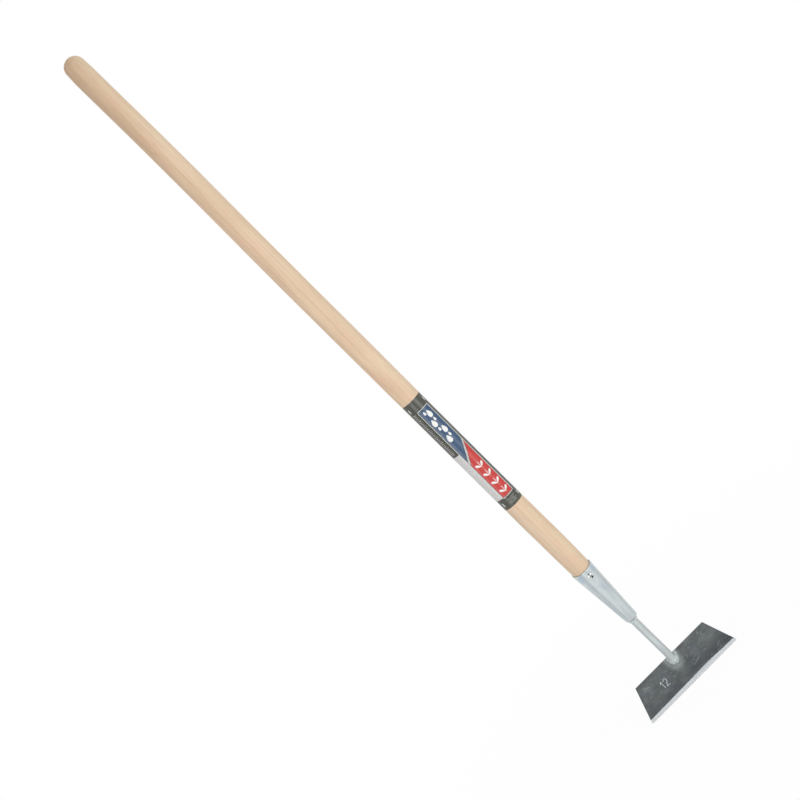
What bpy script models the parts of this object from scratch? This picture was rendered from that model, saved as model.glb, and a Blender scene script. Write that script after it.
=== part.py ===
"""Child's Dutch hoe: a short ash handle, a rolled steel socket and a flat blade that is pushed.

The handle runs along Z with the blade at its foot. The blade's top face, the screw and the
label's front look along -Y. The origin is on the handle's axis, where a rack's clip holds it.
"""

import math

import bmesh
import bpy
from mathutils import Matrix, Vector

MM = 0.001

# Pieces that touch on the real tool stand this far apart.
CLEARANCE = 0.3 * MM

# Handle: one turned ash dowel with a domed top, and a cone that is driven into the socket.
HANDLE_DIAMETER = 23.5 * MM
HANDLE_SHOWN = 708.0 * MM
HANDLE_DOME = 13.0 * MM
HANDLE_CHAMFER = 1.5 * MM
CLIP_BELOW_TOP = 150.0 * MM

# Label: a film sleeve round the handle, a hand's width above the socket.
LABEL_LENGTH = 147.0 * MM
LABEL_ABOVE_RIM = 99.5 * MM
LABEL_FILM = 0.3 * MM

# Socket: a straight-edged steel blank rolled into a cone, its small end turned in to the neck.
SOCKET_LENGTH = 75.0 * MM
SOCKET_SHEET = 1.0 * MM
SOCKET_SEAM = 0.8 * MM
RIM_PAST_HANDLE = 0.35 * MM
SHOULDER_PAST_NECK = 3.25 * MM
SHOULDER_TURN = math.radians(65.0)

# Screw: a round-head wood screw through the socket into the handle.
SCREW_BELOW_RIM = 8.5 * MM
SCREW_ROUND_SOCKET = math.radians(13.0)
SCREW_HEAD_DIAMETER = 6.5 * MM
SCREW_HEAD_HEIGHT = 2.0 * MM
SCREW_DIAMETER = 3.0 * MM
SCREW_LENGTH = 16.0 * MM
SCREW_PLAIN = 4.0 * MM
SCREW_POINT = 3.0 * MM
THREAD_PITCH = 1.3 * MM
THREAD_DEPTH = 0.45 * MM
THREAD_FLANK = 0.4
RECESS_SPAN = 3.6 * MM
RECESS_SLOT = 0.8 * MM
RECESS_DEPTH = 1.2 * MM

# Neck: round bar that leaves the socket straight, bends forward and lies on the blade.
NECK_DIAMETER = 8.0 * MM
NECK_IN_SOCKET = 17.0 * MM
NECK_BELOW_HANDLE = 6.0 * MM
NECK_STRAIGHT = 20.0 * MM
NECK_BEND = 50.0 * MM
NECK_TO_BLADE = 6.0 * MM
NECK_ON_BLADE = 10.0 * MM
NECK_TIP = 2.4 * MM

# Blade: a flat steel trapezium, its long side ground to an edge on the top face.
BLADE_ANGLE = math.radians(30.0)
BLADE_EDGE = 120.0 * MM
BLADE_BACK = 97.0 * MM
BLADE_DEPTH = 37.0 * MM
BLADE_THICKNESS = 2.0 * MM
BLADE_CORNER = 0.8 * MM
GRIND_RUN = 4.0 * MM
GRIND_LAND = 0.4 * MM

# Welds: a fillet under the socket, and a bead down both sides of the neck and round its tip.
FILLET_SIZE = 1.1 * MM
BEAD_RADIUS = 2.2 * MM
BEAD_FROM_NECK = 0.9 * MM
BEAD_ABOVE_BLADE = 0.8 * MM
BEAD_AT_TIP = 1.15
BEAD_AT_ENDS = 0.7
BEAD_RIPPLE = 0.05

# How finely round shapes are divided.
HANDLE_SIDES = 48
SOCKET_SIDES = 48
SCREW_SIDES = 24
NECK_SIDES = 24
BEAD_SIDES = 12
DOME_STEPS = 9
HEAD_STEPS = 8
CONE_STEPS = 6
SHOULDER_STEPS = 6
BEND_STEPS = 12
TIP_STEPS = 5
CORNER_STEPS = 4
FILLET_STEPS = 4
BEAD_RUN_STEPS = 8
BEAD_TURN_STEPS = 18
MERGE = 0.001 * MM

# Radii and heights that the pieces share.
handle_radius = HANDLE_DIAMETER / 2
neck_radius = NECK_DIAMETER / 2
rim_radius = handle_radius + RIM_PAST_HANDLE
shoulder_radius = neck_radius + SHOULDER_PAST_NECK
handle_top = CLIP_BELOW_TOP
rim_height = handle_top - HANDLE_SHOWN
socket_foot = rim_height - SOCKET_LENGTH
neck_top = socket_foot + NECK_IN_SOCKET
handle_foot = neck_top + NECK_BELOW_HANDLE

# The sheet's shoulder is an arc that ends with its inner edge one clearance off the neck.
shoulder_last = neck_radius + CLEARANCE + SOCKET_SHEET * math.cos(SHOULDER_TURN)
shoulder_arc = (shoulder_radius - shoulder_last) / (1 - math.cos(SHOULDER_TURN))
cone_foot = socket_foot + shoulder_arc * math.sin(SHOULDER_TURN)
cone_slope = (rim_radius - shoulder_radius) / (rim_height - cone_foot)
cone_angle = math.atan(cone_slope)


def new_group(name, hidden=False):
    group = bpy.data.collections.new(name)
    group.hide_render = hidden
    bpy.context.scene.collection.children.link(group)
    return group


def new_material(name, colour, roughness, metallic):
    made = bpy.data.materials.new(name)
    made.use_nodes = True
    shader = made.node_tree.nodes["Principled BSDF"]
    shader.inputs["Base Color"].default_value = (*colour, 1.0)
    shader.inputs["Roughness"].default_value = roughness
    shader.inputs["Metallic"].default_value = metallic
    return made


def new_seat(name, matrix, group):
    """An empty that pieces are placed on."""
    seat = bpy.data.objects.new(name, None)
    seat.empty_display_size = handle_radius
    seat.matrix_world = matrix
    group.objects.link(seat)
    return seat


def new_piece(name, data, material, group, seat=None):
    made = bpy.data.objects.new(name, data)
    made.data.materials.append(material)
    made.parent = seat
    group.objects.link(made)
    return made


def new_cutter(name, data, group, seat=None):
    """An object that only cuts others."""
    made = bpy.data.objects.new(name, data)
    made.parent = seat
    made.hide_render = True
    made.display_type = "WIRE"
    group.objects.link(made)
    return made


def cut(piece, cutter):
    boolean = piece.modifiers.new("cut_by_" + cutter.name, "BOOLEAN")
    boolean.operation = "DIFFERENCE"
    boolean.object = cutter


def half_section(name, outline, closed=False):
    """(radius, height) points that run down a turned piece's outer side, joined by edges."""
    edges = [(i, i + 1) for i in range(len(outline) - 1)]
    if closed:
        edges.append((len(outline) - 1, 0))
    mesh = bpy.data.meshes.new(name)
    mesh.from_pydata([(radius, 0.0, height) for radius, height in outline], edges, [])
    return mesh


def turn(piece, sides):
    """Turns a half section about its object's Z axis."""
    screw = piece.modifiers.new("turned", "SCREW")
    screw.axis = "Z"
    screw.steps = sides
    screw.render_steps = sides
    screw.use_merge_vertices = True
    screw.merge_threshold = MERGE
    screw.use_smooth_shade = True


def box_mesh(name, low, high):
    mesh = bpy.data.meshes.new(name)
    shape = bmesh.new()
    bmesh.ops.create_cube(shape, size=1.0)
    middle = (Vector(low) + Vector(high)) / 2
    size = Vector(high) - Vector(low)
    shape.transform(Matrix.Translation(middle) @ Matrix.Diagonal((*size, 1.0)))
    shape.to_mesh(mesh)
    shape.free()
    return mesh


def rod_mesh(name, radius, half_length, sides):
    """A straight round rod along Z, with its middle at the origin."""
    mesh = bpy.data.meshes.new(name)
    shape = bmesh.new()
    bmesh.ops.create_cone(
        shape,
        cap_ends=True,
        segments=sides,
        radius1=radius,
        radius2=radius,
        depth=2 * half_length,
    )
    shape.to_mesh(mesh)
    shape.free()
    return mesh


def bar_curve(name, points, shares, radius, sides):
    """Round bar along the points. Each share is the bar's size there, 1 being full."""
    curve = bpy.data.curves.new(name, "CURVE")
    curve.dimensions = "3D"
    curve.bevel_depth = radius
    curve.bevel_resolution = (sides - 4) // 2
    curve.use_fill_caps = True
    spline = curve.splines.new("POLY")
    spline.points.add(len(points) - 1)
    for place, point, share in zip(spline.points, points, shares):
        place.co = (*point, 1.0)
        place.radius = share
    return curve


def as_mesh(thing):
    """Swaps a curve's object for a closed mesh with the same name, place and looks."""
    bpy.context.view_layer.update()
    graph = bpy.context.evaluated_depsgraph_get()
    mesh = bpy.data.meshes.new_from_object(thing.evaluated_get(graph))
    shape = bmesh.new()
    shape.from_mesh(mesh)
    bmesh.ops.remove_doubles(shape, verts=shape.verts, dist=MERGE)
    bmesh.ops.recalc_face_normals(shape, faces=shape.faces)
    shape.to_mesh(mesh)
    shape.free()
    name = thing.name
    groups = list(thing.users_collection)
    seat = thing.parent
    hidden = thing.hide_render
    display = thing.display_type
    place = thing.matrix_world.copy()
    bpy.data.objects.remove(thing)
    made = bpy.data.objects.new(name, mesh)
    for group in groups:
        group.objects.link(made)
    made.parent = seat
    made.hide_render = hidden
    made.display_type = display
    made.matrix_world = place
    return made


def socket_radius(height):
    """The outside of the socket's cone."""
    return shoulder_radius + (height - cone_foot) * cone_slope


def wood_radius(height):
    """The handle's cone, one clearance inside the sheet."""
    return socket_radius(height) - (SOCKET_SHEET + CLEARANCE) / math.cos(cone_angle)


def make_handle(group, material):
    """Dome, straight dowel, cone and chamfered end."""
    outline = []
    for step in range(DOME_STEPS):
        angle = math.pi / 2 * step / DOME_STEPS
        drop = HANDLE_DOME * (1 - math.cos(angle))
        outline.append((handle_radius * math.sin(angle), handle_top - drop))
    outline.append((handle_radius, handle_top - HANDLE_DOME))
    cone_height = (handle_radius - wood_radius(handle_foot)) / cone_slope
    outline.append((handle_radius, handle_foot + cone_height))
    chamfer_top = handle_foot + HANDLE_CHAMFER
    outline.append((wood_radius(chamfer_top), chamfer_top))
    outline.append((wood_radius(handle_foot) - HANDLE_CHAMFER, handle_foot))
    outline.append((0.0, handle_foot))
    handle = new_piece("handle", half_section("handle", outline), material, group)
    turn(handle, HANDLE_SIDES)
    return handle


def make_label(group, material):
    inner = handle_radius + CLEARANCE
    outer = inner + LABEL_FILM
    foot = rim_height + LABEL_ABOVE_RIM
    top = foot + LABEL_LENGTH
    outline = [(outer, top), (outer, foot), (inner, foot), (inner, top)]
    section = half_section("label_sleeve", outline, closed=True)
    turn(new_piece("label_sleeve", section, material, group), HANDLE_SIDES)


def seam_angle(radius):
    """Half of the sheet's reach round the cone, which leaves the seam open at the back."""
    return math.pi - math.asin(SOCKET_SEAM / 2 / radius)


def rim_rise(angle):
    """How far the blank's straight edge, once rolled, stands above its middle at an angle."""
    slant_height = rim_radius / cone_slope
    return slant_height * (1 / math.cos(angle * math.sin(cone_angle)) - 1)


def blank_point(across, row):
    """A corner of the rolled blank: across is -1 to 1 round the cone, row counts from its foot."""
    if row <= SHOULDER_STEPS:
        turned = SHOULDER_TURN * (1 - row / SHOULDER_STEPS)
        radius = shoulder_radius - shoulder_arc * (1 - math.cos(turned))
        height = cone_foot - shoulder_arc * math.sin(turned)
    else:
        share = (row - SHOULDER_STEPS) / CONE_STEPS
        rim = rim_height + rim_rise(across * seam_angle(rim_radius))
        height = cone_foot + share * (rim - cone_foot)
        radius = socket_radius(height)
    angle = across * seam_angle(radius)
    return Vector((radius * math.sin(angle), -radius * math.cos(angle), height))


def make_socket(group, material):
    """A flat grid is rolled up, and gets the sheet's thickness on its inside."""
    rows = CONE_STEPS + SHOULDER_STEPS
    mesh = bpy.data.meshes.new("socket")
    shape = bmesh.new()
    bmesh.ops.create_grid(shape, x_segments=SOCKET_SIDES, y_segments=rows, size=1.0)
    for corner in shape.verts:
        row = round((corner.co.y + 1) / 2 * rows)
        corner.co = blank_point(corner.co.x, row)
    shape.to_mesh(mesh)
    shape.free()
    mesh.shade_smooth()
    socket = new_piece("socket", mesh, material, group)
    sheet = socket.modifiers.new("sheet", "SOLIDIFY")
    sheet.thickness = SOCKET_SHEET
    sheet.offset = -1.0
    sheet.use_even_offset = True
    return socket


def screw_seat_matrix():
    """On the socket's outside, with Z out of the sheet along the screw."""
    height = rim_height - SCREW_BELOW_RIM
    turned = Matrix.Rotation(SCREW_ROUND_SOCKET, 4, "Z")
    out = Matrix.Translation((0.0, -socket_radius(height), height))
    tipped = Matrix.Rotation(math.pi / 2 + cone_angle, 4, "X")
    return turned @ out @ tipped


def make_screw(group, cutters, material, seat):
    """Round head, plain shank, thread as turned ridges, and point, with a cross recess."""
    head_top = CLEARANCE + SCREW_HEAD_HEIGHT
    outline = []
    for step in range(HEAD_STEPS + 1):
        angle = math.pi / 2 * step / HEAD_STEPS
        radius = SCREW_HEAD_DIAMETER / 2 * math.sin(angle)
        outline.append((radius, CLEARANCE + SCREW_HEAD_HEIGHT * math.cos(angle)))
    crest = SCREW_DIAMETER / 2
    outline.append((crest, CLEARANCE))
    outline.append((crest, -SCREW_PLAIN))
    threads = int((SCREW_LENGTH - SCREW_PLAIN - SCREW_POINT) / THREAD_PITCH)
    for thread in range(threads):
        height = -SCREW_PLAIN - thread * THREAD_PITCH
        outline.append((crest - THREAD_DEPTH, height - THREAD_PITCH * THREAD_FLANK))
        outline.append((crest, height - THREAD_PITCH))
    outline.append((0.0, -SCREW_LENGTH))
    section = half_section("socket_screw", outline)
    screw = new_piece("socket_screw", section, material, group, seat)
    turn(screw, SCREW_SIDES)
    for name, wide, tall in (
        ("recess_across", RECESS_SPAN, RECESS_SLOT),
        ("recess_along", RECESS_SLOT, RECESS_SPAN),
    ):
        low = (-wide / 2, -tall / 2, head_top - RECESS_DEPTH)
        high = (wide / 2, tall / 2, head_top + RECESS_DEPTH)
        cut(screw, new_cutter(name, box_mesh(name, low, high), cutters, seat))


def neck_middle_line():
    """The neck's points down to where its bend ends, and the direction it goes on in."""
    bend_top = socket_foot - NECK_STRAIGHT
    points = [Vector((0.0, 0.0, neck_top))]
    for step in range(BEND_STEPS + 1):
        angle = BLADE_ANGLE * step / BEND_STEPS
        forward = NECK_BEND * (1 - math.cos(angle))
        down = NECK_BEND * math.sin(angle)
        points.append(Vector((0.0, -forward, bend_top - down)))
    onward = Vector((0.0, -math.sin(BLADE_ANGLE), -math.cos(BLADE_ANGLE)))
    return points, onward


def neck_curve(name, grown):
    """The neck with its rounded tip, or the space round it where it is grown."""
    points, onward = neck_middle_line()
    shares = [1.0] * len(points)
    bend_end = points[-1]
    reach = NECK_TO_BLADE + NECK_ON_BLADE + grown
    for step in range(TIP_STEPS):
        angle = math.pi / 2 * step / TIP_STEPS
        points.append(bend_end + onward * (reach - NECK_TIP * (1 - math.sin(angle))))
        shares.append(math.cos(angle))
    return bar_curve(name, points, shares, neck_radius + grown, NECK_SIDES)


def blade_seat_matrix():
    """At the middle of the blade's back edge: Z out of its top face, -Y to its cutting edge."""
    points, onward = neck_middle_line()
    tilt = Matrix.Rotation(math.pi / 2 - BLADE_ANGLE, 4, "X")
    out_of_face = tilt.to_3x3() @ Vector((0.0, 0.0, 1.0))
    place = points[-1] + onward * NECK_TO_BLADE - out_of_face * (neck_radius + CLEARANCE)
    return Matrix.Translation(place) @ tilt


def blade_outline():
    """The blade's four corners on its top face, each rounded with an arc."""
    corners = [
        Vector((-BLADE_BACK / 2, 0.0)),
        Vector((-BLADE_EDGE / 2, -BLADE_DEPTH)),
        Vector((BLADE_EDGE / 2, -BLADE_DEPTH)),
        Vector((BLADE_BACK / 2, 0.0)),
    ]
    outline = []
    for index, corner in enumerate(corners):
        to_last = (corners[index - 1] - corner).normalized()
        to_next = (corners[(index + 1) % len(corners)] - corner).normalized()
        half = to_last.angle(to_next) / 2
        centre = corner + (to_last + to_next).normalized() * BLADE_CORNER / math.sin(half)
        start = corner + to_last * BLADE_CORNER / math.tan(half) - centre
        for step in range(CORNER_STEPS + 1):
            swept = (math.pi - 2 * half) * step / CORNER_STEPS
            outline.append(centre + Matrix.Rotation(swept, 2) @ start)
    return outline


def make_blade(group, cutters, material, seat):
    """A flat outline with thickness, ground along its long side."""
    curve = bpy.data.curves.new("blade", "CURVE")
    curve.dimensions = "2D"
    curve.fill_mode = "BOTH"
    curve.extrude = BLADE_THICKNESS / 2
    spline = curve.splines.new("POLY")
    outline = blade_outline()
    spline.points.add(len(outline) - 1)
    for place, point in zip(spline.points, outline):
        place.co = (point.x, point.y, 0.0, 1.0)
    spline.use_cyclic_u = True
    blade = new_piece("blade", curve, material, group, seat)
    blade.location.z = -BLADE_THICKNESS / 2
    blade = as_mesh(blade)
    reach = 2 * (GRIND_RUN + BLADE_THICKNESS)
    stone = box_mesh("grindstone", (-BLADE_EDGE, -reach, 0.0), (BLADE_EDGE, reach, reach))
    grindstone = new_cutter("grindstone", stone, cutters, seat)
    grindstone.location.y = GRIND_RUN - BLADE_DEPTH
    grindstone.rotation_euler.x = math.atan2(BLADE_THICKNESS - GRIND_LAND, GRIND_RUN)
    cut(blade, grindstone)


def make_socket_weld(group, material):
    """A quarter-round fillet between the neck and the underside of the shoulder."""
    inner = neck_radius + CLEARANCE
    top = socket_foot - CLEARANCE
    outline = [(inner, top)]
    for step in range(FILLET_STEPS + 1):
        angle = math.pi / 2 * step / FILLET_STEPS
        radius = inner + FILLET_SIZE * math.cos(angle)
        outline.append((radius, top - FILLET_SIZE * math.sin(angle)))
    section = half_section("socket_weld", outline, closed=True)
    turn(new_piece("socket_weld", section, material, group), SOCKET_SIDES)


def bead_middle_line():
    """The bead on the blade, down one side of the neck, round its tip and back, with its sizes."""
    aside = neck_radius + BEAD_FROM_NECK
    turn_start = neck_radius - NECK_ON_BLADE
    down = []
    for step in range(BEAD_RUN_STEPS):
        share = step / BEAD_RUN_STEPS
        size = BEAD_AT_ENDS + (1 - BEAD_AT_ENDS) * math.sin(math.pi / 2 * share)
        down.append((Vector((-aside, turn_start * share, BEAD_ABOVE_BLADE)), size))
    back = [(Vector((aside, point.y, point.z)), size) for point, size in reversed(down)]
    around = []
    for step in range(BEAD_TURN_STEPS + 1):
        angle = math.pi * step / BEAD_TURN_STEPS
        size = 1 + (BEAD_AT_TIP - 1) * math.sin(angle)
        out = Vector((-math.cos(angle), -math.sin(angle), 0.0)) * aside
        around.append((out + Vector((0.0, turn_start, BEAD_ABOVE_BLADE)), size))
    return down + around + back


def make_blade_weld(group, cutters, material, seat):
    """A rippled bead, hollowed by the neck and cut flat by the blade that it joins."""
    line = bead_middle_line()
    points = [point for point, size in line]
    shares = [size * (1 + BEAD_RIPPLE * (-1) ** i) for i, (point, size) in enumerate(line)]
    curve = bar_curve("blade_weld", points, shares, BEAD_RADIUS, BEAD_SIDES)
    weld = as_mesh(new_piece("blade_weld", curve, material, group, seat))
    neck_space = as_mesh(new_cutter("neck_space", neck_curve("neck_space", CLEARANCE), cutters))
    cut(weld, neck_space)
    low = (-BLADE_EDGE, -BLADE_DEPTH, -BLADE_DEPTH)
    high = (BLADE_EDGE, BLADE_DEPTH, CLEARANCE)
    cut(weld, new_cutter("blade_space", box_mesh("blade_space", low, high), cutters, seat))


def make_hoe():
    for thing in list(bpy.data.objects):
        bpy.data.objects.remove(thing, do_unlink=True)
    hoe = new_group("dutch_hoe")
    cutters = new_group("cutters", hidden=True)

    ash = new_material("ash_wood", (0.74, 0.56, 0.38), 0.55, 0.0)
    film = new_material("label_film", (0.09, 0.095, 0.085), 0.35, 0.0)
    zinc = new_material("zinc_plate", (0.62, 0.66, 0.67), 0.38, 1.0)
    bright = new_material("screw_steel", (0.75, 0.76, 0.77), 0.22, 1.0)
    dark = new_material("blade_steel", (0.14, 0.15, 0.155), 0.42, 1.0)

    screw_seat = new_seat("screw_seat", screw_seat_matrix(), hoe)
    blade_seat = new_seat("blade_seat", blade_seat_matrix(), hoe)

    handle = make_handle(hoe, ash)
    make_label(hoe, film)
    socket = make_socket(hoe, zinc)
    make_screw(hoe, cutters, bright, screw_seat)
    new_piece("neck_rod", neck_curve("neck_rod", 0.0), zinc, hoe)
    make_blade(hoe, cutters, dark, blade_seat)
    make_socket_weld(hoe, zinc)
    make_blade_weld(hoe, cutters, zinc, blade_seat)

    # The screw's hole runs through the sheet and on into the wood.
    hole_radius = SCREW_DIAMETER / 2 + CLEARANCE
    hole = rod_mesh("screw_hole", hole_radius, SCREW_LENGTH + CLEARANCE, SCREW_SIDES)
    screw_hole = new_cutter("screw_hole", hole, cutters, screw_seat)
    cut(socket, screw_hole)
    cut(handle, screw_hole)


make_hoe()
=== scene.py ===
"""A child's Dutch hoe, dressed: ash, printed film, zinc-plated steel, weld metal and dark plate."""

import math

import bmesh
import bpy
from mathutils import Matrix, Vector


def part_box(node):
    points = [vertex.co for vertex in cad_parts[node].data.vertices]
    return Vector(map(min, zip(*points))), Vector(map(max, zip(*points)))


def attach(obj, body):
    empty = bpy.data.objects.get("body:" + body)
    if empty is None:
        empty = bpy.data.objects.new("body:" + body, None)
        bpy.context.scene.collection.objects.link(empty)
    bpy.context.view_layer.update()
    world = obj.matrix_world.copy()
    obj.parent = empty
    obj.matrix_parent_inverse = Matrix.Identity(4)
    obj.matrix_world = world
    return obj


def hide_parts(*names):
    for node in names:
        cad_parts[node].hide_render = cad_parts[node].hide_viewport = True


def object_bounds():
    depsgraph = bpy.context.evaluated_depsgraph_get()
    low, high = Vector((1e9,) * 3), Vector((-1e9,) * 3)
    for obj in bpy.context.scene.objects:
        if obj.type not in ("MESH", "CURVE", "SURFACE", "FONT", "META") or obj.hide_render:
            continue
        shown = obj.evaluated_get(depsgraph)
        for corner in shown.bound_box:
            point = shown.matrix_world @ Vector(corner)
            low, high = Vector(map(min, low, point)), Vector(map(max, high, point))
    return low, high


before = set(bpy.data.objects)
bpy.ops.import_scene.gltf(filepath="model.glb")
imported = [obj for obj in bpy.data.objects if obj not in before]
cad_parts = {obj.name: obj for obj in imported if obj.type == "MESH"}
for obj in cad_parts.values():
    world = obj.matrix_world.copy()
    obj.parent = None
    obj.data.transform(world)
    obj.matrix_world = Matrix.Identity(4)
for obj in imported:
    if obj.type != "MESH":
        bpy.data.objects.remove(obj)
cad_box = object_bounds()

# Handle. One dowel of pale ash, turned and sanded, with a domed top end and a straight shaft.
# Its foot is turned to a cone that is driven into the steel socket, so the wood narrows just
# above the steel.
MM = 0.001
MERGED = 0.002 * MM
HANDLE_SANDED = 0.1 * MM
TOP_SANDED = 0.5 * MM
HANDLE_SIDES = 128
SHAFT_RINGS = 190
DOME_RINGS = 26
RIM_BELOW_TOP = 708.0 * MM
RIM_PAST_HANDLE = 0.35 * MM
SHEET = 1.0 * MM
SHEET_TO_NECK = 0.3 * MM
NECK_RADIUS = 4.0 * MM
CONE_FOOT_RADIUS = 7.25 * MM
SHOULDER_TURN = math.radians(65.0)
WOOD_TO_SHEET = 0.2 * MM
RIM_BLEND = 0.5 * MM
CONE_BLEND = 0.25 * MM
NOSE_ENDS = (7.5 * MM, 24.5 * MM)
NOSE_SLIM = 0.945
# Each bow and swell: where it starts and ends, in mm below the top, and how much it adds, a bow
# in mm to the right and a swell as a share of the radius.
WOOD_BOWS = ((10, 120, 0.75), (135, 310, -0.9), (400, 470, -0.08), (632, 662, 0.3))
WOOD_SWELLS = (
    (60, 180, 0.015),
    (215, 285, 0.01),
    (385, 425, -0.01),
    (446, 461, -0.015),
    (609, 624, 0.015),
)
ASH_PALE = (235, 208, 179)
ASH_MID = (228, 199, 168)
ASH_DARK = (203, 168, 133)
ASH_ROSY = (233, 197, 172)
ASH_PORE = (178, 142, 106)
# Grime and painted shade on the top end, more on its left: its tone, ends and slant.
GRIME_AND_PAINTED_SHADE = (0.895, 0.875, 0.85, 1.0)
GRIME_AND_SHADE_ENDS = (-90.0 * MM, 10.0 * MM)
GRIME_AND_SHADE_SLANT = 2.5
# Painted shade down the left side of the upper handle.
LEFT_PAINTED_SHADE = (0.867, 0.842, 0.812, 1.0)
LEFT_SHADE_ENDS = (-250.0 * MM, -70.0 * MM)
# Painted shade down the left side of the handle's lower end.
FOOT_PAINTED_SHADE = (0.925, 0.94, 0.945, 1.0)
FOOT_SHADE_ENDS = (200.0 * MM, 100.0 * MM)
# Painted light: a paler, cooler tint down the right side.
RIGHT_PAINTED_LIGHT = (0.985, 1.03, 1.04, 1.0)
RING_WIDTH = 2.6 * MM
RING_DRIFT = 6.0 * MM
GRAIN_LEAN = (0.012, -0.016, 0.0)
PITH_AWAY = (46.0 * MM, 71.0 * MM, 0.0)

handle_low, handle_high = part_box("handle")
handle_radius = (handle_high.x - handle_low.x) / 2
wood_radius = handle_radius - HANDLE_SANDED
rim_radius = handle_radius + RIM_PAST_HANDLE
rim_height = handle_high.z - RIM_BELOW_TOP
socket_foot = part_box("socket")[0].z
shoulder_last = NECK_RADIUS + SHEET_TO_NECK + SHEET * math.cos(SHOULDER_TURN)
shoulder_arc = (CONE_FOOT_RADIUS - shoulder_last) / (1 - math.cos(SHOULDER_TURN))
cone_foot = socket_foot + shoulder_arc * math.sin(SHOULDER_TURN)
cone_slope = (rim_radius - CONE_FOOT_RADIUS) / (rim_height - cone_foot)
cone_angle = math.atan(cone_slope)


class Wire:
    """A node's output. Sums and products with it make Math nodes."""

    def __init__(self, tree, socket):
        self.tree = tree
        self.socket = socket

    def __add__(self, other):
        return calc("ADD", self, other)

    def __sub__(self, other):
        return calc("SUBTRACT", self, other)

    def __rsub__(self, other):
        return calc("SUBTRACT", other, self)

    def __mul__(self, other):
        return calc("MULTIPLY", self, other)

    def __truediv__(self, other):
        return calc("DIVIDE", self, other)


def port(ports, name):
    """A node's socket by identifier, by name or by place."""
    return next((found for found in ports if found.identifier == name), None) or ports[name]


def feed(target, value):
    """Links a wire to an input, or sets the input to a plain value."""
    if isinstance(value, Wire):
        value.tree.links.new(value.socket, target)
    else:
        target.default_value = value


def add(tree, kind, inputs=None, output=0, **settings):
    """Adds a node with its settings, feeds its inputs and returns one output as a wire."""
    made = tree.nodes.new(kind)
    for name, value in settings.items():
        setattr(made, name, value)
    for name, value in (inputs or {}).items():
        feed(port(made.inputs, name), value)
    return Wire(tree, port(made.outputs, output))


def calc(operation, *values):
    """A Math node over wires and numbers."""
    tree = next(value.tree for value in values if isinstance(value, Wire))
    return add(tree, "ShaderNodeMath", dict(enumerate(values)), operation=operation)


def vector_calc(operation, vector, *values, output="Vector"):
    inputs = dict(enumerate((vector, *values)))
    return add(vector.tree, "ShaderNodeVectorMath", inputs, output, operation=operation)


def length_of(vector):
    return vector_calc("LENGTH", vector, output="Value")


def part(vector, axis):
    return add(vector.tree, "ShaderNodeSeparateXYZ", {"Vector": vector}, axis)


def from_parts(tree, **parts):
    return add(tree, "ShaderNodeCombineXYZ", parts)


def outward(place):
    """The level direction from the handle's axis to a place."""
    return vector_calc("NORMALIZE", vector_calc("MULTIPLY", place, (1.0, 1.0, 0.0)))


def spread(value, low, high, to_low=0.0, to_high=1.0):
    """A value's place between low and high, eased at both ends, carried to another range."""
    ends = {"From Min": low, "From Max": high, "To Min": to_low, "To Max": to_high}
    inputs = {"Value": value, **ends}
    return add(value.tree, "ShaderNodeMapRange", inputs, interpolation_type="SMOOTHSTEP")


def stepped(total, value, rows, unit=1.0):
    """Adds to a total, row by row, as a value goes from the row's start to its end in mm."""
    for start, end, more in rows:
        total = total + spread(value, start * MM, end * MM, 0.0, more * unit)
    return total


def speckle(place, size, detail=2.0, roughness=0.5, shift=0.0):
    """Noise with spots of about that size in mm: one number, or three for X, Y and Z."""
    if not isinstance(size, tuple):
        size = (size, size, size)
    scale = tuple(1 / (length * MM) for length in size)
    stretched = vector_calc("MULTIPLY_ADD", place, scale, (shift, shift, shift))
    inputs = {"Vector": stretched, "Scale": 1.0, "Detail": detail, "Roughness": roughness}
    return add(place.tree, "ShaderNodeTexNoise", inputs, "Fac")


def colour(tone):
    """Turns three values from 0 to 255, as on a screen, into a shader's colour."""
    if isinstance(tone, Wire) or len(tone) == 4:
        return tone
    channels = []
    for value in tone:
        share = value / 255
        channels.append(share / 12.92 if share <= 0.04045 else ((share + 0.055) / 1.055) ** 2.4)
    return (*channels, 1.0)


def tint(share, tone, over, blend="MIX"):
    """Lays a colour over a tone by a share."""
    inputs = {"Factor_Float": share, "A_Color": colour(tone), "B_Color": colour(over)}
    how = {"data_type": "RGBA", "blend_type": blend}
    return add(share.tree, "ShaderNodeMix", inputs, "Result_Color", **how)


def layered(tone, *layers):
    """Lays colours over a tone, each as its value goes from start to end, up to its share."""
    for value, start, end, share, over in layers:
        tone = tint(spread(value, start, end, 0.0, share), tone, over)
    return tone


def new_material(name):
    """A material, and the wire that says where on the piece it is read."""
    material = bpy.data.materials.new(name)
    material.use_nodes = True
    return material, add(material.node_tree, "ShaderNodeTexCoord", output="Object")


def dressed(material, tone, rough, bumps, depth, strength, **others):
    """Feeds a material's shader: colour, roughness, fine bumps up to depth high, and others."""
    tree = material.node_tree
    relief = add(tree, "ShaderNodeBump", {"Height": bumps, "Distance": depth, "Strength": strength})
    inputs = {"Base Color": tone, "Roughness": rough, "Normal": relief, **others}
    for name, value in inputs.items():
        feed(tree.nodes["Principled BSDF"].inputs[name], value)
    return material


def new_tree(name, sizes, takes=None):
    """An empty Geometry Nodes tree with named sizes, and those sizes as wires."""
    tree = bpy.data.node_groups.new(name, "GeometryNodeTree")
    tree.interface.new_socket("Geometry", in_out="OUTPUT", socket_type="NodeSocketGeometry")
    if takes:
        tree.interface.new_socket(takes, in_out="INPUT", socket_type="NodeSocketGeometry")
    for size in sizes:
        tree.interface.new_socket(size, in_out="INPUT", socket_type="NodeSocketFloat")
    given = tree.nodes.new("NodeGroupInput").outputs
    return tree, {socket.name: Wire(tree, socket) for socket in given}


def end_tree(geometry, material):
    tree = geometry.tree
    real = add(tree, "GeometryNodeRealizeInstances", {"Geometry": geometry})
    finished = add(tree, "GeometryNodeSetMaterial", {"Geometry": real, "Material": material})
    feed(tree.nodes.new("NodeGroupOutput").inputs[0], finished)


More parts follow.
